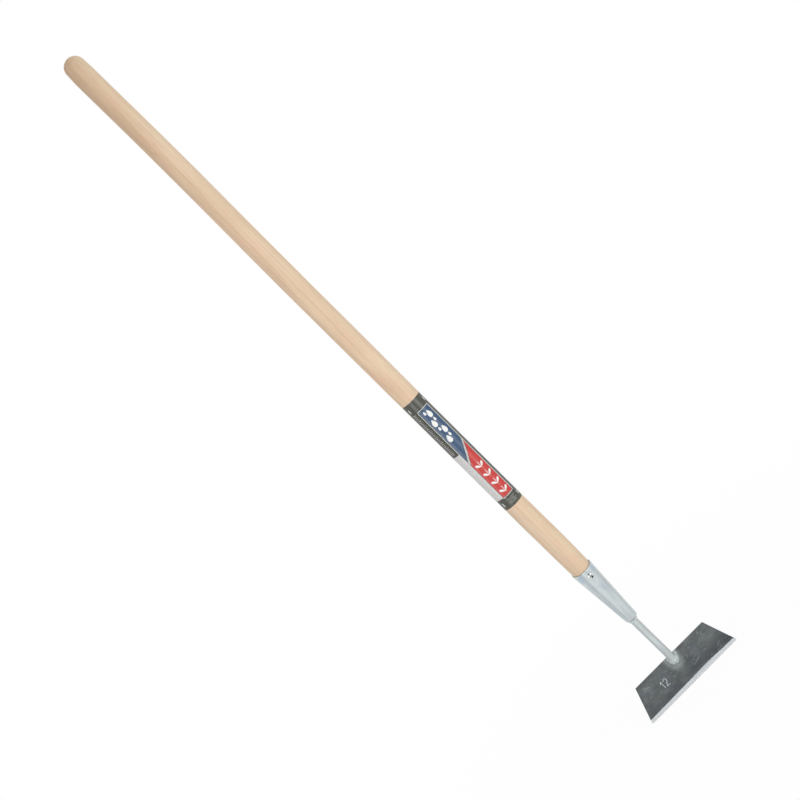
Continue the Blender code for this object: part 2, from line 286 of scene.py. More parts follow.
def moved(geometry, **where):
    """Moves a shape's points by an Offset or to a Position."""
    return add(geometry.tree, "GeometryNodeSetPosition", {"Geometry": geometry, **where})


def circle(tree, sides, radius=1.0):
    return add(tree, "GeometryNodeCurvePrimitiveCircle", {"Resolution": sides, "Radius": radius})


def swept(line, section, scale=1.0):
    """Carries a section along a line, scaled on its way, and closes the ends."""
    inputs = {"Curve": line, "Profile Curve": section, "Scale": scale, "Fill Caps": True}
    return add(line.tree, "GeometryNodeCurveToMesh", inputs)


def stand(name, data):
    """Puts a new object into the scene."""
    made = bpy.data.objects.new(name, data)
    bpy.context.scene.collection.objects.link(made)
    return made


def modify(piece, kind, **settings):
    """Adds a modifier with its settings."""
    modifier = piece.modifiers.new(kind.lower(), kind)
    for name, value in settings.items():
        setattr(modifier, name, value)
    return modifier


def plain(piece, sharp=38.0, outwards=True):
    """Swaps an object with modifiers for a plain mesh at the origin, its doubles merged."""
    bpy.context.view_layer.update()
    graph = bpy.context.evaluated_depsgraph_get()
    mesh = bpy.data.meshes.new_from_object(piece.evaluated_get(graph))
    shape = bmesh.new()
    shape.from_mesh(mesh)
    bmesh.ops.remove_doubles(shape, verts=shape.verts, dist=MERGED)
    if outwards:
        bmesh.ops.recalc_face_normals(shape, faces=shape.faces)
    shape.transform(piece.matrix_world)
    shape.to_mesh(mesh)
    shape.free()
    mesh.shade_smooth()
    mesh.set_sharp_from_angle(angle=math.radians(sharp))
    name = piece.name
    bpy.data.objects.remove(piece)
    return stand(name, mesh)


def grown(name, tree, sizes, data=None, outwards=True):
    """Runs a Geometry Nodes tree with its sizes set, and keeps the result as a plain mesh."""
    carrier = stand(name, data or bpy.data.meshes.new(name))
    modifier = modify(carrier, "NODES", node_group=tree)
    for socket in tree.interface.items_tree:
        if socket.in_out == "INPUT" and socket.name in sizes:
            modifier[socket.identifier] = float(sizes[socket.name])
    piece = plain(carrier, outwards=outwards)
    material = next(found for found in piece.data.materials if found)
    piece.data.materials.clear()
    piece.data.materials.append(material)
    return piece


def hand_in(piece, node=None):
    """The piece moves with the hoe's one body and may stand for a node of the model."""
    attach(piece, "root")
    if node:
        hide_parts(node)


def ash_material():
    """Straight-grained ash: faint growth rings, fine pores in them, fibres, a top darkened by grime
    and painted shade, painted shade on the left and a painted light tint on the right.
    """
    material, place = new_material("ash_wood")
    wander = speckle(place, (50, 50, 220), detail=3.0)
    leaned = add(place.tree, "ShaderNodeMapping", {"Vector": place, "Rotation": GRAIN_LEAN})
    from_pith = vector_calc("MULTIPLY_ADD", leaned, (1.0, 1.0, 0.0), PITH_AWAY)
    ring = calc("FRACT", (length_of(from_pith) + (wander - 0.5) * RING_DRIFT) / RING_WIDTH)
    early = spread(ring, 0.36, 0.02)
    late = spread(ring, 0.5, 1.0)
    streaks = speckle(place, (2, 2, 90), detail=3.0)
    fibre = speckle(place, (0.35, 0.35, 14), detail=4.0, roughness=0.65)
    pores = spread(speckle(place, (0.28, 0.28, 4), detail=1.0), 0.6, 0.7) * early
    patches = speckle(place, (14, 14, 60))
    rosy = speckle(place, (9, 9, 26), shift=5.0)
    tone = layered(ASH_MID, (patches, 0.3, 0.7, 1.0, ASH_PALE), (rosy, 0.5, 0.66, 0.5, ASH_ROSY))
    tone = tint(late * 0.2 + early * 0.15, tone, ASH_DARK)
    tone = layered(tone, (streaks, 0.45, 0.8, 0.4, ASH_DARK), (fibre, 0.42, 0.75, 0.25, ASH_DARK))
    tone = tint(pores * 0.5, tone, ASH_PORE)

    height = part(place, "Z")
    from_top = height - handle_high.z
    side = part(place, "X")
    # The top end is darkened by handling grime and by painted shade, more on the left.
    grime_and_shade = spread(from_top - side * GRIME_AND_SHADE_SLANT, *GRIME_AND_SHADE_ENDS)
    grime_and_shade = grime_and_shade * spread(streaks, 0.35, 0.65, 0.6, 1.35)
    side = side + (streaks - 0.5) * (7 * MM)
    # Painted shade down the left of the upper handle.
    left_shade = spread(side, 5 * MM, -6 * MM) * spread(from_top, *LEFT_SHADE_ENDS)
    # Painted shade down the left of the handle's lower end.
    left_foot_shade = spread(side, 2 * MM, -6 * MM) * spread(height - rim_height, *FOOT_SHADE_ENDS)
    shades = ((grime_and_shade, GRIME_AND_PAINTED_SHADE), (left_shade, LEFT_PAINTED_SHADE), (left_foot_shade, FOOT_PAINTED_SHADE))
    # The last tint is painted light, paler and cooler down the right side.
    for share, shade in (*shades, (spread(side, MM, 8 * MM), RIGHT_PAINTED_LIGHT)):
        tone = tint(share, tone, shade, "MULTIPLY")
    rough = spread(fibre, 0.3, 0.8, 0.52, 0.66)
    return dressed(material, tone, rough, fibre * 0.4 - pores, 0.04 * MM, 0.6)


handle_sizes = {
    "Foot": handle_low.z,
    "Top": handle_high.z - TOP_SANDED,
    "Radius": wood_radius,
    "Dome": 10.4 * MM,
    "Cone foot": cone_foot,
    "Cone foot radius": CONE_FOOT_RADIUS - SHEET - WOOD_TO_SHEET,
    "Cone slope": cone_slope,
    "Rim": rim_height,
    "Rim radius": 11.03 * MM,
    "Rim slope": 0.02,
    "Wave": 0.05 * MM,
    "Top aside": -0.2 * MM,
    "Top slim": 0.985,
}
tree, size = new_tree("turned_handle", handle_sizes)
line = add(tree, "GeometryNodeMeshLine", {"Count": SHAFT_RINGS + DOME_RINGS})
index = add(tree, "GeometryNodeInputIndex")
up_share = calc("MINIMUM", index / SHAFT_RINGS, 1.0)
lift = calc("MAXIMUM", index - SHAFT_RINGS, 0.0) * (math.pi / 2 / (DOME_RINGS - 1))
shaft = (size["Top"] - size["Dome"] - size["Foot"]) * up_share
height = size["Foot"] + shaft + calc("SINE", lift) * size["Dome"]
below_top = size["Top"] - height
slimmed = stepped(size["Top slim"], below_top, WOOD_SWELLS)
slimmed = spread(below_top, *NOSE_ENDS, NOSE_SLIM, 1.0) * slimmed
turned_radius = calc("COSINE", lift) * size["Radius"] * slimmed
near_rim = (height - size["Rim"]) * size["Rim slope"] + size["Rim radius"]
turned_radius = calc("SMOOTH_MIN", turned_radius, near_rim, RIM_BLEND)
cone_radius = (height - size["Cone foot"]) * size["Cone slope"] + size["Cone foot radius"]
turned_radius = calc("SMOOTH_MIN", turned_radius, cone_radius, CONE_BLEND)
turned_radius = calc("MAXIMUM", turned_radius, 0.0)
stood = moved(line, Position=from_parts(tree, Z=height))
spine = add(tree, "GeometryNodeMeshToCurve", {"Mesh": stood})
turned = swept(spine, circle(tree, HANDLE_SIDES), turned_radius)
turned = add(tree, "GeometryNodeMergeByDistance", {"Geometry": turned, "Distance": 0.01 * MM})
place = add(tree, "GeometryNodeInputPosition")
swing = (speckle(place, (11, 11, 80), detail=1.0) - 0.5) * size["Wave"]
sanded = moved(turned, Offset=vector_calc("MULTIPLY", outward(place), swing))
below_top = size["Top"] - part(place, "Z")
aside = stepped(size["Top aside"], below_top, WOOD_BOWS, MM)
end_tree(moved(sanded, Offset=from_parts(tree, X=aside)), ash_material())
handle = grown("ash_handle", tree, handle_sizes)
hand_in(handle, "handle")

# Label. A printed plastic film, wrapped once round the handle and lapped over itself at the back.
# The print is charcoal, with a blue and a red field, white drops and leaves, a ruler of ticks
# and a grey space for a child's name.
FILM = 0.08 * MM
FILM_GAP = 0.03 * MM
FILM_ASIDE = -0.43 * MM
FILM_IOR = 1.65
FILM_COLUMNS = 240
FILM_ROWS = 40
WOOD_UNDER_FILM = 0.985
FILM_LAP = 4.0 * MM
LAP_RISES = (6.0 * MM, 3.0 * MM)
LAP_LIFT = 1.3 * FILM
INK = 0.02 * MM
INK_STRIP = 0.8 * MM
FILM_CHARCOAL = (60, 61, 50)
INK_BLUE = (27, 70, 108)
INK_RED = (197, 36, 26)
INK_WHITE = (240, 240, 236)
INK_GREY = (210, 208, 207)
INK_FAINT = (150, 152, 146)
INK_TICK = (196, 197, 192)
SCUFF_PALER = 38
FIELD_LEFT = -3.9 * MM
FIELD_RIGHT = 9.5 * MM
FIELD_TOP = 13.6 * MM
FIELD_FOOT = 12.9 * MM
BAND_SLANT = 24.0 * MM
BAND_HALF = 2.6 * MM
BAND_LINE = 0.9 * MM
HAIR = 0.5 * MM
# White lines beside the fields: from which edge, how far out and half how wide, in hairs.
SIDE_LINES = ((FIELD_LEFT, -1.5, 0.42), (FIELD_RIGHT, 1.0, 0.7))
END_LINES_OUT = 1.5 * HAIR
END_LINES_PAST = 2 * HAIR
NAME_LEFT = -16.0 * MM
NAME_RIGHT = -4.9 * MM
NAME_PAST_SPLIT = 2.0 * MM
DROPS = 4
DROP_FIRST = 7.5 * MM
DROP_STEP = 10.6 * MM
DROP_SWING = 1.9 * MM
DROPS_ASIDE = -0.8 * MM
DROP_LONG = 8.8 * MM
DROP_WIDE = 0.36
SMALL_DROP_LONG = 4.4 * MM
SMALL_DROP_HIGHER = 3.1 * MM
SPRIGS = 4
SPRIG_FIRST = 4.0 * MM
SPRIG_STEP = 11.5 * MM
STEM_ENDS = (-1.2 * MM, 6.5 * MM)
LEAF_LONG = 5.8 * MM
LEAF_WIDE = 0.2
LEAF_BROAD_FOOT = 0.35
LEAF_LEAN = 0.8
MARK_ARCS = (-10.4 * MM, 12.3 * MM)
MARK_BELOW_TOP = 7.2 * MM
MARK_ABOVE_FOOT = 6.2 * MM
MARK_HALF = 2.2 * MM
FAINT_FIRST = 3.2 * MM
FAINT_STEP = 1.7 * MM
FAINT_HALVES = (4.6 * MM, 5.6 * MM, 3.4 * MM, 5.0 * MM)
FAINT_ASIDE = -1.0 * MM
TICKS = 30
TICK_WIDE = 0.52 * MM
FOURTH_TICK_LONGER = 0.45

label_low, label_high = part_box("label_sleeve")
film_foot = label_low.z
film_top = label_high.z
film_radius = wood_radius * WOOD_UNDER_FILM + FILM_GAP
half_round = math.pi * film_radius


def film_material(name, ink, roughness):
    """Printed film: one ink, with a soft sheen, a few scuffs and the wood's grain through it."""
    material, place = new_material(name)
    scuff = speckle(place, (2.5, 2.5, 6), detail=5.0, roughness=0.7)
    paler = tuple(min(255, value + SCUFF_PALER) for value in ink)
    tone = layered(ink, (scuff, 0.56, 0.75, 0.3, paler))
    rough = spread(scuff, 0.3, 0.8, roughness, roughness + 0.14)
    grain = speckle(place, (1.2, 1.2, 22))
    return dressed(material, tone, rough, grain, 0.05 * MM, 0.5, IOR=FILM_IOR)


def wrapped(geometry, size):
    """Bends a flat sheet, its X along the arc from the front's middle, round the handle."""
    flat = add(geometry.tree, "GeometryNodeInputPosition")
    arc = part(flat, "X")
    laps = [size["Half round"] - before for before in LAP_RISES]
    radius = size["Radius"] + part(flat, "Z") + spread(arc, *laps, 0.0, LAP_LIFT)
    angle = arc / size["Radius"]
    across = radius * calc("SINE", angle) + FILM_ASIDE
    front = radius * calc("COSINE", angle) * -1.0
    round_handle = from_parts(geometry.tree, X=across, Y=front, Z=part(flat, "Y"))
    return moved(geometry, Position=round_handle)


def grid(tree, wide, tall, columns, rows):
    inputs = {"Size X": wide, "Size Y": tall, "Vertices X": columns, "Vertices Y": rows}
    return add(tree, "GeometryNodeMeshGrid", inputs, "Mesh")


def copied(points, piece, **how):
    """Puts a copy of a piece on every point, as real geometry."""
    inputs = {"Points": points, "Instance": piece, **how}
    laid = add(points.tree, "GeometryNodeInstanceOnPoints", inputs)
    return add(points.tree, "GeometryNodeRealizeInstances", {"Geometry": laid})


def thicken(piece, thickness, side=1.0):
    """Gives an open sheet its thickness: side 1 outwards, -1 inwards."""
    modify(piece, "SOLIDIFY", thickness=thickness, offset=side, use_even_offset=True)


def wrap_on(name, tree, sizes, thickness, flat=None, node=None):
    """Wraps a sheet of film or ink round the handle, as thick as it is."""
    sheet = grown(name, tree, sizes, flat, outwards=False)
    thicken(sheet, thickness)
    hand_in(plain(sheet, outwards=False), node)


def mesh_of(name, shape):
    """A mesh from a bmesh shape, which is freed."""
    mesh = bpy.data.meshes.new(name)
    shape.to_mesh(mesh)
    shape.free()
    return mesh


def cut_flat(outlines, lift):
    """Flat outlines of (arc, height) points, cut into strips narrow enough to bend."""
    shape = bmesh.new()
    for outline in outlines:
        shape.faces.new([shape.verts.new((arc, height, lift)) for arc, height in outline])
    arcs = [corner.co.x for corner in shape.verts]
    for strip in range(1, math.ceil((max(arcs) - min(arcs)) / INK_STRIP)):
        everything = shape.verts[:] + shape.edges[:] + shape.faces[:]
        at = (min(arcs) + strip * INK_STRIP, 0.0, 0.0)
        bmesh.ops.bisect_plane(shape, geom=everything, plane_co=at, plane_no=(1, 0, 0))
    shape.normal_update()
    for face in shape.faces:
        if face.normal.z < 0:
            face.normal_flip()
    return mesh_of("print", shape)


def lay_ink(name, outlines, ink, roughness, layer):
    """Prints flat outlines on the film, as thin ink."""
    ink_tree, ink_size = new_tree(name, wrap_sizes, takes="Flat print")
    end_tree(wrapped(ink_size["Flat print"], ink_size), film_material(name, ink, roughness))
    wrap_on(name, ink_tree, wrap_sizes, INK, cut_flat(outlines, FILM + INK * layer))


def block(left, foot, right, top):
    return [(left, foot), (right, foot), (right, top), (left, top)]


def slanted(foot_left, foot_right, top_left, top_right):
    """A strip as wide as the fields, with its foot and top at these heights."""
    feet = [(FIELD_LEFT, foot_left), (FIELD_RIGHT, foot_right)]
    return feet + [(FIELD_RIGHT, top_right), (FIELD_LEFT, top_left)]


def steps(low, high, count):
    """Numbers from low to high, in that many even steps."""
    return [low + (high - low) * step / count for step in range(count + 1)]


def drop(arc, height, long):
    """A water drop's outline, its point up."""
    outline = []
    for turn in steps(0.0, math.tau, 24)[:-1]:
        wide = long * DROP_WIDE * math.sin(turn) * math.sin(turn / 2)
        outline.append((arc + wide, height + long / 2 * math.cos(turn)))
    return outline


def leaf(arc, height, long, lean):
    """A pointed leaf's outline, growing from its foot at an angle."""
    outline = []
    for turn in steps(0.0, math.tau, 20)[:-1]:
        along = long * (1 - math.cos(turn)) / 2
        broad = 1 - LEAF_BROAD_FOOT * math.cos(turn)
        wide = long * LEAF_WIDE * math.sin(turn) * broad
        right = along * math.sin(lean) + wide * math.cos(lean)
        up = along * math.cos(lean) - wide * math.sin(lean)
        outline.append((arc + right, height + up))
    return outline


wrap_sizes = {"Radius": film_radius, "Half round": half_round}
film_sizes = dict(wrap_sizes, Around=2 * half_round + FILM_LAP, Length=film_top - film_foot)
film_sizes["Middle"] = (film_top + film_foot) / 2
tree, size = new_tree("wrapped_film", film_sizes)
flat_film = grid(tree, size["Around"], size["Length"], FILM_COLUMNS, FILM_ROWS)
flat_film = moved(flat_film, Offset=from_parts(tree, Y=size["Middle"]))
end_tree(wrapped(flat_film, size), film_material("film_charcoal", FILM_CHARCOAL, 0.23))
wrap_on("label_film", tree, film_sizes, FILM, node="label_sleeve")

field_top = film_top - FIELD_TOP
field_foot = film_foot + FIELD_FOOT
split = (field_top + field_foot) / 2
low_split = split - BAND_SLANT / 2
high_split = split + BAND_SLANT / 2
blue_field = slanted(low_split + BAND_HALF, high_split + BAND_HALF, field_top, field_top)
red_field = slanted(field_foot, field_foot, low_split - BAND_HALF, high_split - BAND_HALF)
name_space = block(NAME_LEFT, field_foot, NAME_RIGHT, split + NAME_PAST_SPLIT)
lay_ink("print_blue", [blue_field], INK_BLUE, 0.26, 1)
lay_ink("print_red", [red_field], INK_RED, 0.26, 1)
lay_ink("print_name_space", [name_space], INK_GREY, 0.42, 1)

middle = (FIELD_LEFT + FIELD_RIGHT) / 2
white_marks = []
for shift in (-BAND_LINE, BAND_LINE):
    low, high = low_split + shift, high_split + shift
    white_marks.append(slanted(low - HAIR, high - HAIR, low + HAIR, high + HAIR))
for edge, out, half in SIDE_LINES:
    arc = edge + out * HAIR
    white_marks.append(block(arc - half * HAIR, field_foot, arc + half * HAIR, field_top))
left, right = FIELD_LEFT - END_LINES_PAST, FIELD_RIGHT + END_LINES_PAST
for end in (field_foot - END_LINES_OUT, field_top + END_LINES_OUT):
    white_marks.append(block(left, end - HAIR / 2, right, end + HAIR / 2))
for number in range(DROPS):
    high = field_top - DROP_FIRST - DROP_STEP * number
    swing = (-1) ** number * DROP_SWING
    white_marks.append(drop(middle + DROPS_ASIDE + swing, high, DROP_LONG))
    small_high = high + SMALL_DROP_HIGHER
    white_marks.append(drop(middle + DROPS_ASIDE - swing, small_high, SMALL_DROP_LONG))
for number in range(SPRIGS):
    foot = field_foot + SPRIG_FIRST + SPRIG_STEP * number
    low, high = (foot + end for end in STEM_ENDS)
    white_marks.append(block(middle - HAIR / 2, low, middle + HAIR / 2, high))
    white_marks.append(leaf(middle + HAIR, foot, LEAF_LONG, LEAF_LEAN))
    white_marks.append(leaf(middle - HAIR, foot, LEAF_LONG, -LEAF_LEAN))
for end in (film_top - MARK_BELOW_TOP, film_foot + MARK_ABOVE_FOOT):
    for arc in MARK_ARCS:
        white_marks.append(block(arc - HAIR, end - MARK_HALF, arc + HAIR, end + MARK_HALF))
lay_ink("print_white", white_marks, INK_WHITE, 0.38, 2)

faint_marks = []
for number, half in enumerate(FAINT_HALVES):
    foot = film_foot + FAINT_FIRST + FAINT_STEP * number
    centre = middle + FAINT_ASIDE
    faint_marks.append(block(centre - half, foot, centre + half, foot + HAIR))
lay_ink("print_faint", faint_marks, INK_FAINT, 0.4, 1)

tick_sizes = dict(wrap_sizes, Top=field_top, Step=1.9 * MM, Middle=-9.8 * MM, Long=3.0 * MM)
tree, size = new_tree("ruler_ticks", tick_sizes)
down = from_parts(tree, Y=size["Step"] * -1.0)
first = from_parts(tree, X=size["Middle"], Y=size["Top"], Z=FILM + INK)
ruler = {"Count": TICKS, "Start Location": first, "Offset": down}
dots = add(tree, "GeometryNodeMeshLine", ruler)
number = add(tree, "GeometryNodeInputIndex")
fourth = calc("LESS_THAN", calc("MODULO", number, 4.0), 0.5)
stretch = from_parts(tree, X=fourth * FOURTH_TICK_LONGER + 1.0, Y=1.0, Z=1.0)
tick = grid(tree, size["Long"], TICK_WIDE, 6, 2)
laid = copied(dots, tick, Scale=stretch)
end_tree(wrapped(laid, size), film_material("print_ticks", INK_TICK, 0.38))
wrap_on("print_ticks", tree, tick_sizes, INK)

# Socket. A straight-edged blank of 1 mm sheet steel, rolled into a cone with its seam open at the
# back, its small end turned in round the neck. It is zinc plated, with a faint blue passivation.
SOCKET_COLUMNS = 168
CONE_ROWS = 120
SHOULDER_ROWS = 22
SEAM = 0.8 * MM
EDGE_ROUND = 0.16 * MM
ROLL_MARK = 0.05 * MM
ROLL_FACETS = 7
ROLL_MARK_TURN = 0.6
ROLL_MARK_ROWS = 20
RIM_WAVE = 0.25 * MM
RIM_WAVE_TURN = 0.8
RIM_FLARE = 0.1 * MM
RIM_FLARE_TALL = 2.6 * MM
SOCKET_LEAN = 0.0138
LEAN_BELOW_RIM = 8.0 * MM
ZINC = (204, 212, 213)
ZINC_BAR = (204, 210, 210)
ZINC_BLUE = (176, 195, 210)
ZINC_VIOLET = (194, 193, 202)
ZINC_GREEN = (192, 207, 200)
ZINC_GREY = (166, 172, 175)
RIM_BLUE = (164, 185, 205)
# Blue clouds under the rim: right, back, below the rim and reach in mm, and their share.
RIM_BLUES = ((-7.4, -8.6, 4.9, 5.6, 0.65), (9.0, -7.2, 4.4, 5.0, 0.45))
# Painted shade: greyer bands down the cone, and along the bar with the same material: how far to
# the right and half how wide, in cone radii, and their share.
PAINTED_SHADE_BANDS = ((-0.5, 0.28, 0.5), (0.6, 0.25, 0.2))


def zinc_material(name, base, streak, tinted, roughness, place_of=None):
    """Zinc plate: satin, faintly coloured by its passivation, with the steel's lines under it and
    bands of painted shade down its sides.
    """
    material, place = new_material(name)
    if place_of:
        place = place_of(place)
    clouds = speckle(place, (9, 9, 16), detail=3.0, roughness=0.6)
    others = speckle(place, (6, 6, 12), detail=3.0, shift=31.0)
    streaks = speckle(place, streak, detail=4.0, roughness=0.7)
    spots = speckle(place, 0.7, detail=3.0, roughness=0.7)
    tone = layered(
        base,
        (clouds, 0.5, 0.75, tinted, ZINC_BLUE),
        (others, 0.52, 0.75, tinted, ZINC_VIOLET),
        (clouds, 0.48, 0.28, tinted, ZINC_GREEN),
        (streaks, 0.45, 0.75, 0.5, ZINC_GREY),
        (speckle(place, (4.5, 4.5, 300), detail=1.0, shift=9.0), 0.5, 0.66, 0.4, ZINC_GREY),
    )
    right_of = part(outward(place), "X")
    # Painted shade: greyer bands at fixed sides.
    for middle, wide, share in PAINTED_SHADE_BANDS:
        tone = layered(tone, (calc("ABSOLUTE", right_of - middle), wide, 0.0, share, ZINC_GREY))
    for right, back, below_rim, wide, share in RIM_BLUES:
        middle = (right * MM, back * MM, rim_height - below_rim * MM)
        away = vector_calc("DISTANCE", place, middle, output="Value")
        away = away + (others - 0.5) * (9 * MM)
        tone = layered(tone, (away, wide * MM, wide * MM / 5, share, RIM_BLUE))
    rough = spread(spots, 0.3, 0.75, roughness, roughness + 0.16)
    return dressed(material, tone, rough, streaks + spots * 0.5, 0.03 * MM, 0.5, Metallic=0.9)


def rolled(across, row):
    """A place on the rolled blank: across is -1 to 1 round it, row counts up from its foot."""
    if row <= SHOULDER_ROWS:
        turned = SHOULDER_TURN * (1 - row / SHOULDER_ROWS)
        radius = CONE_FOOT_RADIUS - shoulder_arc * (1 - math.cos(turned))
        height = cone_foot - shoulder_arc * math.sin(turned)
    else:
        share = (row - SHOULDER_ROWS) / CONE_ROWS
        rim_angle = across * (math.pi - SEAM / 2 / rim_radius)
        rise = rim_radius / cone_slope * (1 / math.cos(rim_angle * math.sin(cone_angle)) - 1)
        wave = RIM_WAVE * math.sin(rim_angle * 3 + RIM_WAVE_TURN) * math.cos(rim_angle * 2)
        height = cone_foot + share * (rim_height + rise - cone_foot) + wave * share**6
        radius = CONE_FOOT_RADIUS + (height - cone_foot) * cone_slope
        below_rim = (1 - share) * (rim_height - cone_foot)
        radius += RIM_FLARE * max(0.0, 1 - below_rim / RIM_FLARE_TALL) ** 2
    angle = across * (math.pi - math.asin(SEAM / 2 / radius))
    rolled_in = min(max(row - SHOULDER_ROWS, 0) / ROLL_MARK_ROWS, 1)
    radius += ROLL_MARK * math.cos(angle * ROLL_FACETS + ROLL_MARK_TURN) * rolled_in
    aside = SOCKET_LEAN * max(0.0, rim_height - LEAN_BELOW_RIM - height)
    return Vector((radius * math.sin(angle) + aside, -radius * math.cos(angle), height))


def linked(name, shape, material, matrix=Matrix()):
    """A mesh object made from a bmesh shape."""
    mesh = mesh_of(name, shape)
    mesh.shade_smooth()
    mesh.materials.append(material)
    made = stand(name, mesh)
    made.matrix_world = matrix
    return made


def round_edges(piece, width, from_angle):
    """Rounds the edges that are sharper than an angle in degrees."""
    limit = {"limit_method": "ANGLE", "angle_limit": math.radians(from_angle)}
    modify(piece, "BEVEL", width=width, segments=2, **limit)


zinc_sheet = zinc_material("zinc_sheet", ZINC, (1.4, 1.4, 26), 0.5, 0.33)
blank = bmesh.new()
rows = CONE_ROWS + SHOULDER_ROWS
bmesh.ops.create_grid(blank, x_segments=SOCKET_COLUMNS, y_segments=rows, size=1.0)
for corner in blank.verts:
    corner.co = rolled(corner.co.x, round((corner.co.y + 1) / 2 * rows))
socket = linked("zinc_socket", blank, zinc_sheet)
thicken(socket, SHEET, -1.0)
round_edges(socket, EDGE_ROUND, 50)
hand_in(socket, "socket")

# Screw. A bright round-head wood screw with a cross recess, through the socket into the handle.
# It sits a little round to the right of the front.
SCREW_BELOW_RIM = 7.25 * MM
SCREW_ROUND = math.radians(7.4)
SCREW_SIDES = 64
HEAD_RADIUS = 3.5 * MM
HEAD_HEIGHT = 2.1 * MM
HEAD_RIM = 0.3 * MM
HEAD_LIFT = 0.02 * MM
SHANK_RADIUS = 1.5 * MM
SHANK_PLAIN = 4.0 * MM
SCREW_LENGTH = 16.0 * MM
THREAD_PITCH = 1.3 * MM
THREAD_DEPTH = 0.45 * MM
THREADS = 6
RECESS_TURN = 0.26
RECESS_SPAN = 5.9 * MM
RECESS_SLOT = 1.4 * MM
RECESS_DEPTH = 1.1 * MM
# The cutter's width as a share of the cross's: at the recess's floor, and at its own top.
RECESS_TAPER = 0.6
RECESS_FLARE = 0.9
# Where the recess is worn out: to the right, up and half width in mm, and height over width.
WORN = ((0.15, -2.35, 2.1, 0.65), (0.25, 2.4, 1.0, 1.0))
# The rings of each worn cut: their height in mm and their share of its width.
WORN_RINGS = ((0.8, 0.6), (2.8, 1.1))
RECESS_LIT = (0.5 * MM, 1.1 * MM)
SCREW_BRIGHT = (228, 231, 230)
SCREW_SATIN = (206, 210, 211)
# The recess's ends are painted dark as shade, speckled with grime.
RECESS_SHADE = (46, 47, 46)
RECESS_DIRT = (92, 91, 88)
RECESS_LIGHT = (186, 190, 190)


def steel_material(name, first, second, spot, roughness):
    """Plain steel whose colour and polish wander a little between two tones."""
    material, place = new_material(name)
    fine = speckle(place, spot, detail=4.0, roughness=0.65)
    tone = layered(first, (fine, 0.38, 0.7, 1.0, second))
    rough = spread(fine, 0.3, 0.7, roughness, roughness + 0.16)
    return dressed(material, tone, rough, fine, spot * MM / 20, 0.6, Metallic=1.0)


def prism(rings):
    """A closed shape through rings of corners, one above the other."""
    shape = bmesh.new()
    loops = [[shape.verts.new(corner) for corner in ring] for ring in rings]
    count = len(loops[0])
    for low, high in zip(loops, loops[1:]):
        for i in range(count):
            j = (i + 1) % count
            shape.faces.new((low[i], low[j], high[j], high[i]))
    shape.faces.new(loops[0][::-1])
    shape.faces.new(loops[-1])
    bmesh.ops.recalc_face_normals(shape, faces=shape.faces)
    return shape


def carve(piece, tool, overlaps=False):
    """Cuts a tool's shape out of a piece. The cut's faces keep the tool's material."""
    cut = {"operation": "DIFFERENCE", "object": tool, "material_mode": "TRANSFER"}
    modify(piece, "BOOLEAN", use_self=overlaps, **cut)


screw_height = rim_height - SCREW_BELOW_RIM
screw_out = CONE_FOOT_RADIUS + (screw_height - cone_foot) * cone_slope
screw_place = (
    Matrix.Rotation(SCREW_ROUND, 4, "Z")
    @ Matrix.Translation((0.0, -screw_out, screw_height))
    @ Matrix.Rotation(math.pi / 2 + cone_angle, 4, "X")
)
outline = []
for turn in steps(0.0, math.pi / 2, 18):
    bulge = HEAD_LIFT + HEAD_RIM + (HEAD_HEIGHT - HEAD_RIM) * math.cos(turn)
    outline.append((HEAD_RADIUS * math.sin(turn), bulge))
outline.append((HEAD_RADIUS - HEAD_RIM / 3, HEAD_LIFT))
outline += [(SHANK_RADIUS, HEAD_LIFT), (SHANK_RADIUS, -SHANK_PLAIN)]
for thread in range(THREADS):
    start = -SHANK_PLAIN - THREAD_PITCH * thread
    outline.append((SHANK_RADIUS - THREAD_DEPTH, start - 0.4 * THREAD_PITCH))
    outline.append((SHANK_RADIUS, start - THREAD_PITCH))
outline.append((0.0, -SCREW_LENGTH))
turned_screw = bmesh.new()
verts = [turned_screw.verts.new((radius, 0.0, height)) for radius, height in outline]
edges = [turned_screw.edges.new(pair) for pair in zip(verts, verts[1:])]
whole_turn = {"cent": (0, 0, 0), "axis": (0, 0, 1), "angle": math.tau, "steps": SCREW_SIDES}
bmesh.ops.spin(turned_screw, geom=verts + edges, **whole_turn)
bmesh.ops.remove_doubles(turned_screw, verts=turned_screw.verts, dist=MERGED)
bmesh.ops.recalc_face_normals(turned_screw, faces=turned_screw.faces)
screw_steel = steel_material("screw_steel", SCREW_BRIGHT, SCREW_SATIN, 0.4, 0.14)
screw = linked("cross_screw", turned_screw, screw_steel, screw_place)


def recess_material():
    """The driver's cross: light in its middle, dark at the two ends along the handle with painted
    shade and specks of grime.
    """
    material, place = new_material("screw_recess")
    up = screw_place.to_3x3() @ Vector((-math.sin(RECESS_TURN), math.cos(RECESS_TURN), 0.0))
    from_middle = vector_calc("SUBTRACT", place, tuple(screw_place.translation))
    along = vector_calc("DOT_PRODUCT", from_middle, tuple(up), output="Value")
    crumbs = speckle(place, 0.3, detail=3.0)
    # Painted shade at the cross's ends, with grime crumbs in it.
    shade_and_grime = layered(RECESS_SHADE, (crumbs, 0.35, 0.7, 1.0, RECESS_DIRT))
    tone = layered(RECESS_LIGHT, (calc("ABSOLUTE", along), *RECESS_LIT, 1.0, shade_and_grime))
    return dressed(material, tone, 0.5, crumbs, 0.05 * MM, 0.6, Metallic=0.6)


